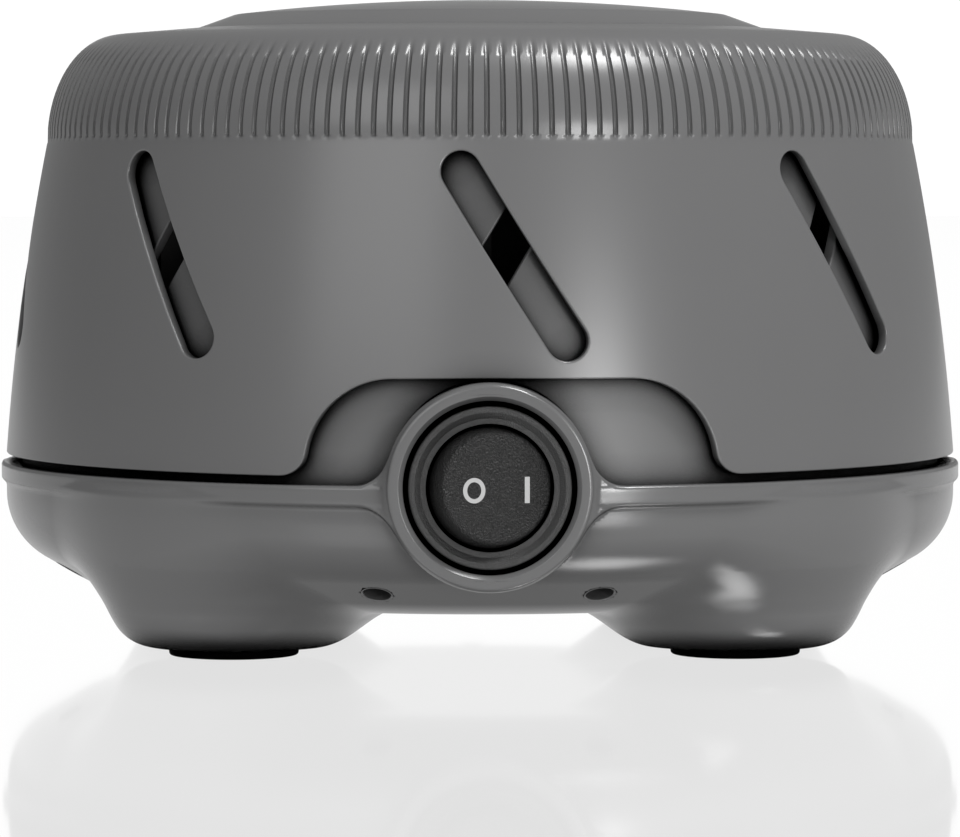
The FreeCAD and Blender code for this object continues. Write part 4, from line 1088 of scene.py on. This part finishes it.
def plastic(name, colour, roughness, grain=0.02, scale=9000.0, specular=0.5, mottling=0.03,
            underside_shade=1.0, depth=0.2):
    """Moulded plastic: a fine eroded grain, faint mottling of tone, uneven gloss and painted shade in
    recesses and on faces that look down.
    """
    material = bpy.data.materials.new(name)
    material.use_nodes = True
    nodes = material.node_tree.nodes
    links = material.node_tree.links
    shader = nodes["Principled BSDF"]
    shader.inputs["Specular IOR Level"].default_value = specular
    shader.inputs["Base Color"].default_value = (*colour, 1.0)
    shader.inputs["Roughness"].default_value = roughness
    place = nodes.new("ShaderNodeTexCoord")
    fine = add_node(nodes, "ShaderNodeTexNoise", {"Scale": scale, "Detail": 2.0})
    broad = add_node(nodes, "ShaderNodeTexNoise", {"Scale": MOTTLING_SCALE, "Detail": 1.0})
    links.new(place.outputs["Object"], fine.inputs["Vector"])
    links.new(place.outputs["Object"], broad.inputs["Vector"])
    tone = add_node(nodes, "ShaderNodeMapRange",
                    {"To Min": 1.0 - mottling, "To Max": 1.0 + mottling})
    links.new(broad.outputs["Fac"], tone.inputs["Value"])
    tint = add_node(nodes, "ShaderNodeVectorMath", {0: colour})
    tint.operation = "SCALE"
    # The base colour is darkened by painted shade in recesses and on faces that look down.
    links.new(painted_shade_tone(nodes, links, tone.outputs["Result"], underside_shade, specular), tint.inputs["Scale"])
    links.new(tint.outputs["Vector"], shader.inputs["Base Color"])
    gloss = add_node(nodes, "ShaderNodeMapRange",
                     {"To Min": roughness - GLOSS_SPREAD, "To Max": roughness + GLOSS_SPREAD})
    links.new(broad.outputs["Fac"], gloss.inputs["Value"])
    links.new(gloss.outputs["Result"], shader.inputs["Roughness"])
    bump = add_node(nodes, "ShaderNodeBump", {"Strength": grain, "Distance": depth * MM})
    links.new(fine.outputs["Fac"], bump.inputs["Height"])
    links.new(bump.outputs["Normal"], shader.inputs["Normal"])
    return material


def metal(name, colour, roughness):
    """Bare metal with an uneven tone."""
    material = plastic(name, colour, roughness, grain=0.05, scale=4000.0, mottling=0.06)
    material.node_tree.nodes["Principled BSDF"].inputs["Metallic"].default_value = 1.0
    return material


def dress(node, material):
    """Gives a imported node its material."""
    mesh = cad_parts[node].data
    mesh.materials.clear()
    mesh.materials.append(material)


def dress_inner_parts(dark):
    """Gives the parts inside the housing their materials."""
    groups = [
        (dark, ["cord_gland", "plate_grommets"]),
        (metal("zinc_steel", (0.55, 0.55, 0.56), 0.35),
         ["housing_screws", "pivot_washer", "pivot_screw", "motor_plate", "plate_screws",
          "upper_bracket", "lower_bracket", "motor_spacers", "motor_screws", "motor_nuts",
          "motor_shaft", "fan_clip"]),
        (metal("copper", (0.72, 0.36, 0.20), 0.4), ["shading_rings", "coil_winding"]),
        (metal("bronze", (0.50, 0.33, 0.15), 0.45),
         ["switch_terminals", "upper_bearing", "lower_bearing"]),
        (plastic("nylon", (0.70, 0.68, 0.62), 0.5), ["coil_bobbin", "thrust_washers", "splice_caps"]),
        (metal("lamination_steel", (0.30, 0.30, 0.31), 0.5), ["stator_core"]),
        (metal("rotor_alloy", (0.60, 0.60, 0.61), 0.45), ["rotor_core"]),
        (plastic("lead_plastic", (0.02, 0.02, 0.02), 0.5),
         ["coil_lead_to_switch", "coil_lead_to_splice", "switch_lead_to_splice"]),
    ]
    for material, names in groups:
        for name in names:
            dress(name, material)


def area_light(name, place, target, width, height, power):
    """A rectangular light that faces its target."""
    data = bpy.data.lights.new(name, "AREA")
    data.shape = "RECTANGLE"
    data.size = width
    data.size_y = height
    data.energy = power
    lamp = bpy.data.objects.new(name, data)
    bpy.context.scene.collection.objects.link(lamp)
    lamp.location = place
    direction = Vector(target) - Vector(place)
    lamp.rotation_euler = direction.to_track_quat("-Z", "Y").to_euler()


def stage_plane(name, corners, material):
    """A rectangle of the stage, which is no part of the object."""
    mesh = bpy.data.meshes.new(name)
    mesh.from_pydata(corners, [], [(0, 1, 2, 3)])
    plane = bpy.data.objects.new(name, mesh)
    bpy.context.scene.collection.objects.link(plane)
    mesh.materials.append(material)


def glowing(name, strength):
    """A new material that gives off white light, with its glow and output nodes."""
    material = bpy.data.materials.new(name)
    material.use_nodes = True
    nodes = material.node_tree.nodes
    nodes.clear()
    output = nodes.new("ShaderNodeOutputMaterial")
    glow = add_node(nodes, "ShaderNodeEmission", {"Color": WHITE, "Strength": strength})
    material.node_tree.links.new(glow.outputs["Emission"], output.inputs["Surface"])
    return material, glow, output


def make_backdrop():
    """White panel far behind, as wide as the picture, so that its ground is white all over."""
    material, _, _ = glowing("white_wall", PANEL_GLOW)
    corners = [(-PANEL_HALF, PANEL_AWAY, 0), (PANEL_HALF, PANEL_AWAY, 0),
               (PANEL_HALF, PANEL_AWAY, PANEL_HIGH), (-PANEL_HALF, PANEL_AWAY, PANEL_HIGH)]
    stage_plane("backdrop", corners, material)


def make_floor():
    """Pale glossy floor with a faint, sharp reflection."""
    material, glow, output = glowing("pale_floor", FLOOR_GLOW)
    nodes = material.node_tree.nodes
    links = material.node_tree.links
    mix = add_node(nodes, "ShaderNodeMixShader", {"Fac": FLOOR_SHINE})
    gloss = add_node(nodes, "ShaderNodeBsdfGlossy", {"Roughness": FLOOR_ROUGHNESS, "Color": WHITE})
    links.new(glow.outputs["Emission"], mix.inputs[1])
    links.new(gloss.outputs["BSDF"], mix.inputs[2])
    links.new(mix.outputs["Shader"], output.inputs["Surface"])
    corners = [(-FLOOR_HALF, -FLOOR_HALF, 0), (FLOOR_HALF, -FLOOR_HALF, 0),
               (FLOOR_HALF, FLOOR_HALF, 0), (-FLOOR_HALF, FLOOR_HALF, 0)]
    stage_plane("floor", corners, material)


def make_lights():
    """Even surroundings, three lights and the picture's plain tone curve."""
    world = bpy.data.worlds.new("studio")
    bpy.context.scene.world = world
    world.use_nodes = True
    background = world.node_tree.nodes["Background"]
    background.inputs["Color"].default_value = WHITE
    background.inputs["Strength"].default_value = SKY_GLOW
    for light in LIGHTS:
        area_light(*light)
    bpy.context.scene.view_settings.view_transform = "Standard"


def make_camera():
    """The photograph's camera, looking slightly down."""
    data = bpy.data.cameras.new("camera")
    data.sensor_width = SENSOR_WIDTH
    data.lens = FOCAL_PIXELS * SENSOR_WIDTH / IMAGE_WIDTH
    data.clip_start = 0.01
    data.clip_end = 50.0
    camera = bpy.data.objects.new("camera", data)
    bpy.context.scene.collection.objects.link(camera)
    turn = math.radians(VIEW_AZIMUTH)
    camera.location = (VIEW_DISTANCE * MM * math.sin(turn), -VIEW_DISTANCE * MM * math.cos(turn),
                       VIEW_HEIGHT * MM)
    camera.rotation_euler = (math.radians(90 - VIEW_PITCH), 0, turn)
    bpy.context.scene.camera = camera


def main():
    """Builds the dressed object, its stage and camera."""
    cap_plastic = plastic("cap_plastic", (0.108, 0.108, 0.109), 0.28)
    # The base's faces that look down get strong painted shade.
    base_plastic = plastic("base_plastic", (0.106, 0.106, 0.107), 0.22, underside_shade=0.3)
    shell_plastic = plastic("shell_plastic", (0.092, 0.092, 0.093), 0.42)
    switch_plastic = plastic("switch_plastic", (0.007, 0.007, 0.007), 0.34, grain=0.7, scale=5200.0,
                             specular=0.6)
    rocker_plastic = plastic("rocker_plastic", (0.006, 0.006, 0.006), 0.42, grain=1.0, scale=3600.0,
                             specular=0.4, depth=0.5)
    dark_plastic = plastic("dark_plastic", (0.010, 0.010, 0.010), 0.5)
    rubber = plastic("pad_rubber", (0.008, 0.008, 0.008), 0.6)
    mark = plastic("mark_paint", (0.36, 0.36, 0.36), 0.5)
    make_cap(cap_plastic)
    make_crown(cap_plastic)
    make_inner_shell(shell_plastic)
    field_piece("base", base_distance, BASE_LOW, BASE_HIGH, BASE_VOXEL, base_plastic, "base",
                ["base_housing"])
    make_rocker(rocker_plastic, mark)
    make_bezel(switch_plastic)
    make_boss_ring(base_plastic)
    make_vent_rims(base_plastic)
    make_pads(rubber)
    make_fan(dark_plastic)
    dress_inner_parts(dark_plastic)
    make_backdrop()
    make_floor()
    make_lights()
    make_camera()


main()
